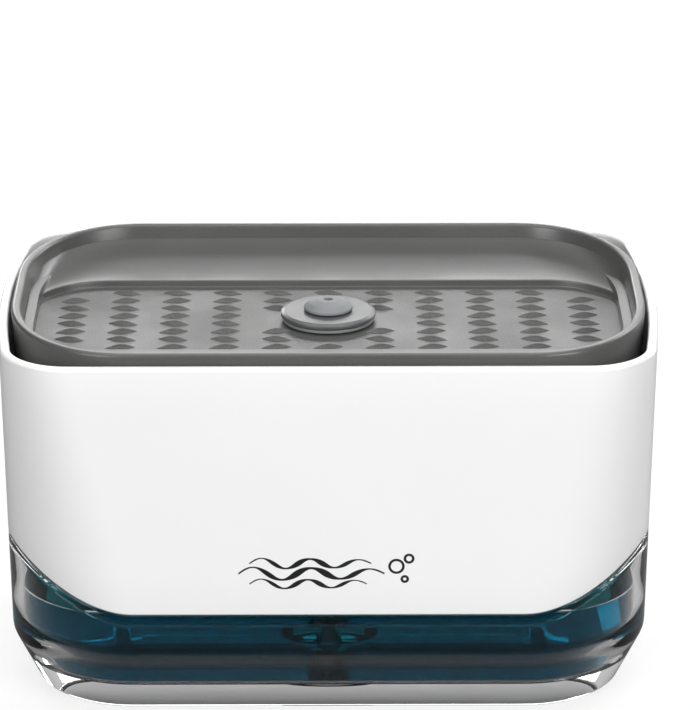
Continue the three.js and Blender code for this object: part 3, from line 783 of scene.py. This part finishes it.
WAVE_STEPS, BUBBLE_STEPS = 72, 32
BUBBLE_LINE = 0.55 * MM
WAVES = (  # of the ornament: height over its middle, swing and thickness
    (2.1 * MM, 1.3 * MM, 1.25 * MM),
    (-0.3 * MM, 1.6 * MM, 1.5 * MM),
    (-2.7 * MM, 1.2 * MM, 1.1 * MM),
)
BUBBLES = (  # place across, height over the middle and radius
    (14.6 * MM, 1.4 * MM, 1.5 * MM),
    (17.3 * MM, 3.2 * MM, 0.9 * MM),
    (16.4 * MM, -1.6 * MM, 0.65 * MM),
)


class DISPENSER_OT_print_mark(bpy.types.Operator):
    """Print a plain black ornament of waves and bubbles low on the front of the sleeve"""
    bl_idname = "dispenser.print_mark"
    bl_label = "Front ornament"

    def execute(self, context):
        left, right, middle_z = -19.5 * MM, 12.5 * MM, EDGE_Z + 10.2 * MM
        strokes = []
        for row, swing, thick in WAVES:
            start, end = left + abs(row + 0.3 * MM), right - 1.6 * abs(row)

            def wave(share, row=row, swing=swing, start=start, end=end):
                sway = math.sin(share * 5 * math.pi) * (1 - 0.35 * share)
                return mix(start, end, share), middle_z + row + swing * sway

            def width(share, thick=thick):
                fade = math.sin(math.pi * clamp(share, 0.02, 0.98)) ** 0.7
                return thick * (0.12 + 0.88 * fade * (0.62 + 0.38 * math.cos(share * 10 * math.pi)))

            strokes.append(stroke("wave", wave, width, WAVE_STEPS))
        for x, up, radius in BUBBLES:

            def bubble(share, x=x, up=up, radius=radius):
                angle = share * 2 * math.pi
                return x + radius * math.cos(angle), middle_z + up + radius * math.sin(angle)

            strokes.append(stroke("bubble", bubble, lambda share: BUBBLE_LINE, BUBBLE_STEPS, loop=True))
        piece = joined("front_ornament", strokes)
        hand_over(piece, finish("Black print"), "casing", "dark_grey_plastic")
        return {"FINISHED"}


# ---------------------------------------------------------------- deck and pump


class DISPENSER_OT_deck(bpy.types.Operator):
    """Build the deck that closes the tank, with its plug rim and neck, and the flat seal under it"""
    bl_idname = "dispenser.deck"
    bl_label = "Deck and seal"

    def execute(self, context):
        low, top = TANK_RIM_Z + 1.6 * MM, TANK_RIM_Z + 4 * MM
        inset, plug = SLEEVE_WALL + 0.8 * MM, UPPER_INSIDE + 0.5 * MM
        neck, bore, wall = 11 * MM, 7.6 * MM, 1.6 * MM
        plate = rounded([(inset + 3 * MM, low, 0), (inset, low, 0.2 * MM), (inset, top, 0.6 * MM),
                         (inset + 4 * MM, top, 0)])
        collar = rounded([(neck + 4 * MM, top, 0), (neck, top, 1 * MM), (neck, deck_high.z, 0.5 * MM),
                          (bore, deck_high.z, 0.4 * MM), (bore, low, 0.4 * MM), (bore + 4 * MM, low, 0)])
        rim = rounded([(plug + wall + 4 * MM, low, 0), (plug + wall, low, 0.5 * MM),
                       (plug + wall, deck_low.z, 0.4 * MM), (plug + 0.3 * MM, deck_low.z, 0.4 * MM),
                       (plug, deck_low.z + MM, 0.4 * MM), (plug, low, 0)])
        rings = [level_ring(*point) for point in plate] + [circle_ring(*point) for point in collar]
        rings += [level_ring(*point) for point in rim]
        hand_over(skin("pump_deck", rings, loop=True), finish("Dark grey plastic"), "deck_unit",
                  "dark_grey_plastic", "deck")
        seal_low, seal_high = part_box("deck_seal")
        outer, inner, crown = inset + 0.1 * MM, plug - 0.4 * MM, 0.3 * MM
        outline = rounded([(outer, seal_low.z, crown), (outer, seal_high.z, crown),
                           (inner, seal_high.z, crown), (inner, seal_low.z, crown)], loop=True)
        piece = skin("tank_seal", [level_ring(*point) for point in outline], loop=True)
        hand_over(piece, finish("Silicone"), "deck_unit", "silicone", "deck_seal")
        return {"FINISHED"}


class DISPENSER_OT_cap(bpy.types.Operator):
    """Build the closure cap with its ring of grip ribs"""
    bl_idname = "dispenser.cap"
    bl_label = "Closure cap"

    def execute(self, context):
        ribs, points_per_rib, depth = 48, 6, 0.5 * MM
        count = ribs * points_per_rib
        low, top = cap_low.z, cap_high.z
        outer, bore, hole, plate = cap_high.x, 11.5 * MM, 4.6 * MM, 1.7 * MM
        outline = rounded([
            (outer, low, 0.4 * MM), (outer, top, 1.2 * MM), (hole, top, 0.4 * MM),
            (hole, top - plate, 0.2 * MM), (bore, top - plate, 0.3 * MM), (bore, low, 0.3 * MM)], loop=True)
        rings = []
        for radius, z in outline:
            groove = depth * clamp((radius - outer + MM) / MM) * clamp((top - z) / (2 * MM))
            ring = []
            for place, (x, y, _) in enumerate(circle_ring(1.0, z, count)):
                reach = radius - groove * math.sin(math.pi * place / points_per_rib) ** 2
                ring.append((x * reach, y * reach, z))
            rings.append(ring)
        piece = skin("ribbed_cap", rings, loop=True)
        hand_over(piece, finish("Pump white"), "deck_unit", "pump_plastic", "closure_cap")
        return {"FINISHED"}


class DISPENSER_OT_cylinder(bpy.types.Operator):
    """Build the pump cylinder and the pieces fixed to it: gasket, stem guide and suction tube"""
    bl_idname = "dispenser.cylinder"
    bl_label = "Pump cylinder"

    def execute(self, context):
        low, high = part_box("pump_cylinder")
        flange, barrel, bore, seat = high.x, BARREL_RADIUS, 6 * MM, BARREL_SEAT_Z
        chamber, throat, throat_z, tail = 2.9 * MM, 1.4 * MM, 18.2 * MM, TAIL_RADIUS
        tube_low, tube_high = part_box("suction_tube")
        tail_bore = tube_high.x + 0.25 * MM
        edge = 0.3 * MM
        piece = turned("pump_barrel", [
            (flange, high.z - 1.4 * MM, edge), (flange, high.z, edge), (bore, high.z, edge),
            (bore, seat, edge), (chamber, seat, edge), (chamber, throat_z + 1.3 * MM, edge),
            (throat, throat_z, edge),
            (throat, tube_high.z + 0.4 * MM, 0.1 * MM), (tail_bore, tube_high.z + 0.4 * MM, 0.1 * MM),
            (tail_bore, low.z, edge), (tail, low.z, edge), (tail, seat - 3 * MM, edge),
            (barrel, seat - MM, 0.8 * MM), (barrel, high.z - 1.4 * MM, edge)])
        hand_over(piece, finish("Milky plastic"), "deck_unit", "milky_plastic", "pump_cylinder")
        low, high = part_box("cylinder_gasket")
        inner, edge = barrel + 0.4 * MM, 0.2 * MM
        piece = turned("flange_gasket", [(inner, low.z, edge), (high.x, low.z, edge),
                                         (high.x, high.z, edge), (inner, high.z, edge)])
        hand_over(piece, finish("Silicone"), "deck_unit", "silicone", "cylinder_gasket")
        low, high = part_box("stem_guide")
        inner = 3.3 * MM
        piece = turned("stem_bush", [(inner, low.z, edge), (high.x, low.z, edge), (high.x, high.z, edge),
                                     (inner + 0.6 * MM, high.z, edge), (inner, high.z - 0.8 * MM, edge)])
        hand_over(piece, finish("Pump white"), "deck_unit", "pump_plastic", "stem_guide")
        inner = 1.4 * MM
        piece = turned("dip_tube", [(inner, tube_low.z, edge), (tube_high.x, tube_low.z, edge),
                                    (tube_high.x, tube_high.z, edge), (inner, tube_high.z, edge)])
        hand_over(piece, finish("Milky plastic"), "deck_unit", "milky_plastic", "suction_tube")
        return {"FINISHED"}


class DISPENSER_OT_plunger(bpy.types.Operator):
    """Build the hollow piston stem with its seal and the ring that holds the tray's hub"""
    bl_idname = "dispenser.plunger"
    bl_label = "Plunger"

    def execute(self, context):
        low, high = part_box("piston_stem")
        seal_low, seal_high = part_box("piston_seal")
        ring_low, ring_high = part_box("stem_ring")
        shank, bore, foot, head, edge = 3 * MM, 1.8 * MM, high.x, 3.9 * MM, 0.25 * MM
        head_z, groove_z, groove = cap_high.z + 9 * MM, (ring_low.z + ring_high.z) / 2, 3.5 * MM
        seat_z, chamber, throat = head_z + 0.8 * MM, 2.6 * MM, 1.4 * MM
        foot_top = seal_low.z - GAP
        piece = turned("hollow_stem", [
            (bore, low.z, edge), (foot, low.z, edge), (foot, foot_top, edge), (shank, foot_top, edge),
            (shank, head_z, edge), (head, head_z, edge), (head, groove_z - 0.6 * MM, 0.1 * MM),
            (groove, groove_z - 0.6 * MM, 0.1 * MM), (groove, groove_z + 0.6 * MM, 0.1 * MM),
            (head, groove_z + 0.6 * MM, 0.1 * MM), (head, high.z, edge), (chamber, high.z, edge),
            (chamber, seat_z + 1.2 * MM, edge), (throat, seat_z, 0.1 * MM),
            (throat, seat_z - 0.6 * MM, 0.1 * MM), (bore, seat_z - 1.1 * MM, 0.1 * MM)])
        hand_over(piece, finish("Pump white"), "plunger", "pump_plastic", "piston_stem")
        inner, lip, waist = shank + GAP, seal_high.x, seal_high.x - 0.9 * MM
        piece = turned("piston_packing", [
            (inner, seal_low.z, edge), (lip - 0.3 * MM, seal_low.z, 0.2 * MM),
            (lip, seal_low.z + 0.6 * MM, 0.2 * MM), (waist, seal_low.z + 1.7 * MM, 0.5 * MM),
            (waist, seal_high.z - 1.7 * MM, 0.5 * MM), (lip, seal_high.z - 0.6 * MM, 0.2 * MM),
            (lip - 0.3 * MM, seal_high.z, 0.2 * MM),
            (inner, seal_high.z, edge)])
        hand_over(piece, finish("Milky plastic"), "plunger", "milky_plastic", "piston_seal")
        section = (ring_high.z - ring_low.z) / 2
        centre = ring_high.x - section
        sides = 14
        spokes = [2 * math.pi * place / sides for place in range(sides)]
        outline = [(centre + section * math.cos(spoke), groove_z + section * math.sin(spoke))
                   for spoke in spokes]
        piece = skin("stem_o_ring", [circle_ring(*point, TURN_STEPS) for point in outline], loop=True)
        hand_over(piece, finish("Silicone"), "plunger", "silicone", "stem_ring")
        return {"FINISHED"}


BALL_CUTS = 11  # across each face of the cube that a ball is cast from


class DISPENSER_OT_valve_balls(bpy.types.Operator):
    """Build the two steel valve balls"""
    bl_idname = "dispenser.valve_balls"
    bl_label = "Valve balls"

    def execute(self, context):
        for node, name, body in (("inlet_ball", "inlet_valve_ball", "inlet_valve"),
                                 ("outlet_ball", "outlet_valve_ball", "outlet_valve")):
            low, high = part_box(node)
            radius = (high.z - low.z) / 2
            clear_selection()
            bpy.ops.mesh.primitive_cube_add(size=2 * radius)
            piece = bpy.context.object
            piece.name = piece.data.name = name
            bpy.ops.object.mode_set(mode="EDIT")
            bpy.ops.mesh.subdivide(number_cuts=BALL_CUTS)
            bpy.ops.object.mode_set(mode="OBJECT")
            apply_modifier(piece, "CAST", factor=1.0, cast_type="SPHERE", size=radius,
                           use_radius_as_size=False)
            piece.location.z = (low.z + high.z) / 2
            bpy.ops.object.transform_apply(location=True)
            bpy.ops.object.shade_smooth()
            hand_over(piece, finish("Spring steel"), body, "spring_steel", node)
        return {"FINISHED"}


class DISPENSER_OT_spring(bpy.types.Operator):
    """Build the return spring as one coiled wire"""
    bl_idname = "dispenser.spring"
    bl_label = "Return spring"

    def execute(self, context):
        low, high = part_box("return_spring")
        wire, turns, wire_sides, turn_steps = 0.45 * MM, 6, 12, 32
        radius, rise = high.x - wire, high.z - low.z - 2 * wire
        clear_selection()
        bpy.ops.mesh.primitive_circle_add(
            vertices=wire_sides, radius=wire, location=(radius, 0, low.z + wire),
            rotation=(math.pi / 2, 0, 0))
        piece = bpy.context.object
        piece.name = piece.data.name = "coil_spring"
        bpy.ops.object.transform_apply(location=True, rotation=True)
        apply_modifier(piece, "SCREW", axis="Z", angle=2 * math.pi, screw_offset=rise / turns,
                       iterations=turns, steps=turn_steps, render_steps=turn_steps, use_merge_vertices=True)
        bpy.ops.object.mode_set(mode="EDIT")
        bpy.ops.mesh.select_all(action="SELECT")
        bpy.ops.mesh.fill_holes(sides=0)
        bpy.ops.mesh.normals_make_consistent(inside=False)
        bpy.ops.object.mode_set(mode="OBJECT")
        bpy.ops.object.shade_smooth_by_angle(angle=SMOOTH_ANGLE)
        hand_over(piece, finish("Spring steel"), "deck_unit", "spring_steel", "return_spring")
        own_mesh(piece)
        return {"FINISHED"}


# ---------------------------------------------------------------- tray

RIDGE_PITCH_X = 11.4 * MM
RIDGE_PITCH_Y = 5.15 * MM
RIDGE_ROWS = 8
RIDGE_LENGTH = 6.8 * MM
RIDGE_WIDTH = 1.7 * MM
RIDGE_TILT = math.radians(9)
RIDGE_CLEAR = 13.4 * MM  # no ridges this near the middle
RIDGE_POINTS = 16  # on each ring of a ridge
RIDGE_TIP = 1.5  # power that draws the ends of a ridge out to points
RIDGE_RINGS = (  # of a ridge, as shares of its height, length and width
    (-0.2, 1.06, 1.1),
    (0.0, 1.0, 1.0),
    (0.2, 0.88, 0.72),
    (0.5, 0.66, 0.42),
    (0.8, 0.4, 0.2),
    (0.95, 0.2, 0.09),
    (1.0, 0.08, 0.03),
)


def tray_rings():
    """Rings of the tray's shell: from the skirt's foot over the rim to the hub's hole and back under."""
    rim = rounded([
        (0, SKIRT_Z, 0),
        (0, TRAY_RIM_Z, 0.9 * MM),
        (2.0 * MM, TRAY_RIM_Z, 0.95 * MM),
        (2.5 * MM, TRAY_RIM_Z - 3 * MM, 0),
    ])
    rings = [tray_ring(*point) for point in divided(rim, 5 * MM)]
    riser_z = TRAY_FLOOR_Z + 1.5 * MM
    ledge = floor_ring(1.3 * MM, riser_z)
    rings += [between(rings[-1], ledge, share, -0.5 * MM * math.sin(math.pi * share) ** 0.8)
              for share in (0.04, 0.1, 0.2, 0.35, 0.5, 0.65, 0.8, 0.92)]
    riser = rounded([(1.3 * MM, riser_z, 0), (0.55 * MM, riser_z, 0.4 * MM),
                     (0.35 * MM, TRAY_FLOOR_Z, 0.35 * MM), (-2 * MM, TRAY_FLOOR_Z, 0)])
    rings += [floor_ring(*point) for point in riser]
    hole = rounded([(HUB_HOLE + 3 * MM, TRAY_FLOOR_Z, 0), (HUB_HOLE, TRAY_FLOOR_Z, 0.3 * MM),
                    (HUB_HOLE, TRAY_FLOOR_Z - TRAY_WALL, 0.3 * MM),
                    (HUB_HOLE + 3 * MM, TRAY_FLOOR_Z - TRAY_WALL, 0)])
    rings += [circle_ring(*point) for point in hole]
    rings.append(floor_ring(-1.4 * MM, TRAY_FLOOR_Z - TRAY_WALL))
    rings.append(tray_ring(4.4 * MM, TRAY_RIM_Z - 5.4 * MM))
    under = rounded([(3 * MM, TRAY_RIM_Z - 5 * MM, 0), (1.9 * MM, TRAY_RIM_Z - 4.9 * MM, 0.5 * MM),
                     (1.9 * MM, SKIRT_Z, 0.3 * MM), (0, SKIRT_Z, 0)])
    rings += [tray_ring(*point) for point in under[:-1]]
    rings.append(tray_ring(0.3 * MM, SKIRT_Z))
    return rings


def ridge_places():
    """Places and turns of the grip ridges, a herringbone that leaves the hub and the corners clear."""
    columns = bpy.context.scene.dispenser_sizes.ridge_columns
    for column in range(-columns, columns + 1):
        for row in range(RIDGE_ROWS):
            x, y = column * RIDGE_PITCH_X, (row - (RIDGE_ROWS - 1) / 2) * RIDGE_PITCH_Y
            at_corner = abs(column) == columns and row in (0, RIDGE_ROWS - 1)
            if math.hypot(x, y) > RIDGE_CLEAR and not at_corner:
                yield x, y, RIDGE_TILT if row % 2 == 0 else -RIDGE_TILT


def grip_ridge():
    """One grip ridge: a leaf in plan, whose arched crest peaks in the middle."""
    height = bpy.context.scene.dispenser_sizes.ridge_height
    rings = []
    for up, long, wide in RIDGE_RINGS:
        ring = []
        for place in range(RIDGE_POINTS):
            angle = 2 * math.pi * place / RIDGE_POINTS
            side = math.copysign(abs(math.sin(angle)) ** RIDGE_TIP, math.sin(angle))
            ring.append((RIDGE_LENGTH / 2 * long * math.cos(angle), RIDGE_WIDTH / 2 * wide * side,
                         TRAY_FLOOR_Z + height * up))
        rings.append(ring)
    return skin("grip_ridge", rings)


class DISPENSER_OT_tray(bpy.types.Operator):
    """Build the sponge tray: rim, skirt, sloping sides, textured floor and its grip ridges"""
    bl_idname = "dispenser.tray"
    bl_label = "Sponge tray"

    def execute(self, context):
        shell = skin("grey_tray", tray_rings(), loop=True)
        shell.data.materials.append(finish("Smooth tray grey"))
        shell.data.materials.append(finish("Textured tray grey"))
        for face in shell.data.polygons:
            on_floor = face.normal.z > 0.9 and face.center.z < TRAY_FLOOR_Z + 0.2 * MM
            face.material_index = 1 if on_floor else 0
        hand_over(shell, None, "tray_unit", "tray_grey", "sponge_tray")
        ridge = grip_ridge()
        ridge.data.materials.append(finish("Textured tray grey"))
        ridges = []
        for x, y, turn in ridge_places():
            clear_selection()
            ridge.select_set(True)
            bpy.context.view_layer.objects.active = ridge
            bpy.ops.object.duplicate(linked=False)
            copy = bpy.context.object
            copy.location, copy.rotation_euler = (x, y, 0), (0, 0, turn)
            bpy.ops.object.transform_apply(location=True, rotation=True)
            ridges.append(copy)
        bpy.data.objects.remove(ridge)
        hand_over(joined("grip_ridges", ridges), None, "tray_unit", "tray_grey")
        return {"FINISHED"}


class DISPENSER_OT_hub(bpy.types.Operator):
    """Build the hub that snaps into the tray, its gasket and the soft outlet on top"""
    bl_idname = "dispenser.hub"
    bl_label = "Hub and outlet"

    def execute(self, context):
        low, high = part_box("nozzle_hub")
        stem_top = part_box("piston_stem")[1].z
        gasket_low, gasket_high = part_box("hub_gasket")
        socket, outside, bead, body = 4.9 * MM, 6.6 * MM, HUB_HOLE + 0.4 * MM, HUB_HOLE - GAP
        bead_z, flange_z = TRAY_FLOOR_Z - TRAY_WALL - GAP, gasket_high.z + GAP
        outlet, edge = 1.5 * MM, 0.25 * MM
        piece = turned("tray_hub", [
            (socket, low.z, edge), (outside, low.z, edge), (outside, bead_z - 1.6 * MM, edge),
            (bead, bead_z - 0.9 * MM, edge), (bead, bead_z, 0.1 * MM), (body, bead_z, 0.1 * MM),
            (body, flange_z, 0.1 * MM), (high.x, flange_z, edge), (high.x, high.z - 0.4 * MM, 0.3 * MM),
            (high.x - 0.9 * MM, high.z, 0.5 * MM), (outlet, high.z, edge), (outlet, stem_top + GAP, edge),
            (socket, stem_top + GAP, edge)])
        hand_over(piece, finish("Hub grey"), "tray_unit", "hub_grey", "nozzle_hub")
        inner, edge = HUB_HOLE + 0.2 * MM, 0.2 * MM
        piece = turned("tray_gasket", [
            (inner, gasket_low.z, edge), (gasket_high.x, gasket_low.z, edge),
            (gasket_high.x, gasket_high.z, edge), (inner, gasket_high.z, edge)])
        hand_over(piece, finish("Silicone"), "tray_unit", "silicone", "hub_gasket")
        low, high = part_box("outlet_nozzle")
        hole, skirt = 1.0 * MM, high.x
        piece = turned("soft_outlet", [
            (hole, low.z, 0.1 * MM), (skirt, low.z, 0.15 * MM), (skirt, low.z + 0.6 * MM, 0.3 * MM),
            (skirt - 1.2 * MM, low.z + 1.6 * MM, 0.8 * MM), (2.4 * MM, high.z, 0.6 * MM),
            (hole, high.z, 0.2 * MM)])
        hand_over(piece, finish("Silicone"), "tray_unit", "silicone", "outlet_nozzle")
        return {"FINISHED"}


# ---------------------------------------------------------------- studio

CAMERA_PLACE = Vector((0, -0.8797, 0.3871))
CAMERA_AIM = Vector((0.00484, 0, 0.0677))
CAMERA_LENS = 212.3
FLOOR_HALF = 5.0
FLOOR_LIFT = 0.02 * MM  # the paper touches the underside of the tank
PAPER_GREY = (0.18, 0.18, 0.18)
# Painted light: the paper seen through the tank glows, nil in front and full behind, standing in for light
# under and behind the tank
PAPER_DARK_Y = -50 * MM  # the paper seen through the tank is dark in front of this
PAPER_LIT_Y = 90 * MM  # and lit behind this
BACKDROP_PLACE = (0, 2.2, 0.75)
BACKDROP_SCALE = (1.0, 0.75, 1)
BACKDROP_GLOW = 1.7


def softbox(name, place, aim, width, height, power):
    """Area light that faces a point and isn't seen itself."""
    light = bpy.data.lights.new(name, "AREA")
    light.shape, light.size, light.size_y, light.energy = "RECTANGLE", width, height, power
    lamp = bpy.data.objects.new(name, light)
    lamp.location = place
    lamp.rotation_euler = (Vector(aim) - Vector(place)).to_track_quat("-Z", "Y").to_euler()
    lamp.visible_camera = False
    bpy.context.scene.collection.objects.link(lamp)
    return lamp


class DISPENSER_OT_stage(bpy.types.Operator):
    """Set up the pale floor, the backdrop, the soft studio lights, the room and the camera"""
    bl_idname = "dispenser.stage"
    bl_label = "Studio"

    def execute(self, context):
        studio = context.scene.dispenser_studio
        clear_selection()
        bpy.ops.mesh.primitive_plane_add(size=2 * FLOOR_HALF, location=(0, 0, FLOOR_LIFT))
        floor = context.object
        floor.name = "studio_floor"
        paper = moulded("Studio paper", PAPER_GREY, (0.7, 0.85), grain=900.0, depth=0.01 * MM, drift=0.004)
        tree = paper.node_tree
        shader = next(node for node in tree.nodes if node.type == "BSDF_PRINCIPLED")
        shader.inputs["Emission Color"].default_value = (1.0, 1.0, 1.0, 1.0)
        rays = add_node(tree, "ShaderNodeLightPath").outputs
        place = add_node(tree, "ShaderNodeSeparateXYZ",
                         Vector=add_node(tree, "ShaderNodeNewGeometry").outputs["Position"]).outputs["Y"]
        # Painted light: glow on the paper for rays through clear plastic, growing from front to back
        behind = ranged(tree, place, PAPER_DARK_Y, PAPER_LIT_Y, 0.0, studio.paper_through)
        through = calculated(tree, "MULTIPLY", behind, rays["Is Transmission Ray"])
        seen = ranged(tree, rays["Is Camera Ray"], 0.0, 1.0, 0.0, studio.paper_glow)
        tree.links.new(calculated(tree, "ADD", through, seen), shader.inputs["Emission Strength"])
        floor.data.materials.append(paper)
        bpy.ops.mesh.primitive_plane_add(size=2, location=BACKDROP_PLACE, rotation=(math.pi / 2, 0, 0))
        backdrop = context.object
        backdrop.name = "studio_backdrop"
        backdrop.scale = BACKDROP_SCALE
        glow, tree, shader = new_material("Lit backdrop")
        shader.inputs["Base Color"].default_value = (0.9, 0.9, 0.9, 1.0)
        shader.inputs["Emission Color"].default_value = (1.0, 1.0, 1.0, 1.0)
        shader.inputs["Emission Strength"].default_value = BACKDROP_GLOW
        backdrop.data.materials.append(glow)

        aim = (0, 0, 0.05)
        softbox("softbox_top", (0, 0.1, 1.3), (0, 0, 0), 1.2, 1.2, studio.top_power)
        for side, name in ((-1, "softbox_front_left"), (1, "softbox_front_right")):
            softbox(name, (0.9 * side, -1.2, 0.7), aim, 0.8, 0.8, studio.front_power)
        softbox("rim_light", (0.75, 0.8, 0.5), aim, 0.12, 0.7, studio.rim_power)
        softbox("rear_strip", (0.45, 0.95, 0.7), aim, 1.4, 0.08, studio.rear_power)
        softbox("rear_strip_left", (-0.6, 2.1, 0.6), aim, 0.2, 0.8, studio.rear_power)
        softbox("strip_right", (0.8, -0.62, 0.35), aim, 0.09, 0.8, studio.strip_power)

        world = bpy.data.worlds.new("Studio room")
        world.use_nodes = True
        context.scene.world = world
        room = world.node_tree.nodes["Background"]
        rays = add_node(world.node_tree, "ShaderNodeLightPath").outputs
        seen = ranged(world.node_tree, rays["Is Camera Ray"], 0.0, 1.0, studio.ambient, 1.0)
        through = ranged(world.node_tree, rays["Is Transmission Ray"], 0.0, 1.0, 0.0, studio.room_through)
        strength = calculated(world.node_tree, "MAXIMUM", seen, through)
        world.node_tree.links.new(strength, room.inputs["Strength"])
        room.inputs["Color"].default_value = (1.0, 1.0, 1.0, 1.0)

        camera = bpy.data.objects.new("camera", bpy.data.cameras.new("camera"))
        camera.location = CAMERA_PLACE
        camera.rotation_euler = (CAMERA_AIM - CAMERA_PLACE).to_track_quat("-Z", "Y").to_euler()
        camera.data.lens, camera.data.sensor_width = CAMERA_LENS, 36.0
        camera.data.clip_start, camera.data.clip_end = 0.05, 40.0
        context.scene.collection.objects.link(camera)
        context.scene.camera = camera
        context.scene.view_settings.view_transform = "Standard"
        return {"FINISHED"}


# ---------------------------------------------------------------- add-on

STEPS = (
    DISPENSER_OT_stage, DISPENSER_OT_sleeve, DISPENSER_OT_tank, DISPENSER_OT_soap, DISPENSER_OT_print_mark,
    DISPENSER_OT_deck, DISPENSER_OT_cap, DISPENSER_OT_cylinder, DISPENSER_OT_spring, DISPENSER_OT_plunger,
    DISPENSER_OT_valve_balls, DISPENSER_OT_tray, DISPENSER_OT_hub,
)


class DISPENSER_PT_panel(bpy.types.Panel):
    """Sizes, colours and building steps of the soap dispenser"""
    bl_idname = "DISPENSER_PT_panel"
    bl_label = "Soap dispenser"
    bl_space_type = "VIEW_3D"
    bl_region_type = "UI"
    bl_category = "Dispenser"

    def draw(self, context):
        for group in (context.scene.dispenser_sizes, context.scene.dispenser_colours,
                      context.scene.dispenser_studio):
            box = self.layout.box()
            for name in group.__annotations__:
                box.prop(group, name)
        column = self.layout.column(align=True)
        for step in STEPS:
            column.operator(step.bl_idname)


GROUPS = {"dispenser_sizes": DispenserSizes, "dispenser_colours": DispenserColours,
          "dispenser_studio": DispenserStudio}


def register():
    for cls in (*GROUPS.values(), *STEPS, DISPENSER_PT_panel):
        bpy.utils.register_class(cls)
    for name, group in GROUPS.items():
        setattr(bpy.types.Scene, name, PointerProperty(type=group))


def unregister():
    for name in GROUPS:
        delattr(bpy.types.Scene, name)
    for cls in reversed((*GROUPS.values(), *STEPS, DISPENSER_PT_panel)):
        bpy.utils.unregister_class(cls)


def main():
    register()
    for step in STEPS:
        category, action = step.bl_idname.split(".")
        getattr(getattr(bpy.ops, category), action)()


if __name__ == "__main__":
    main()
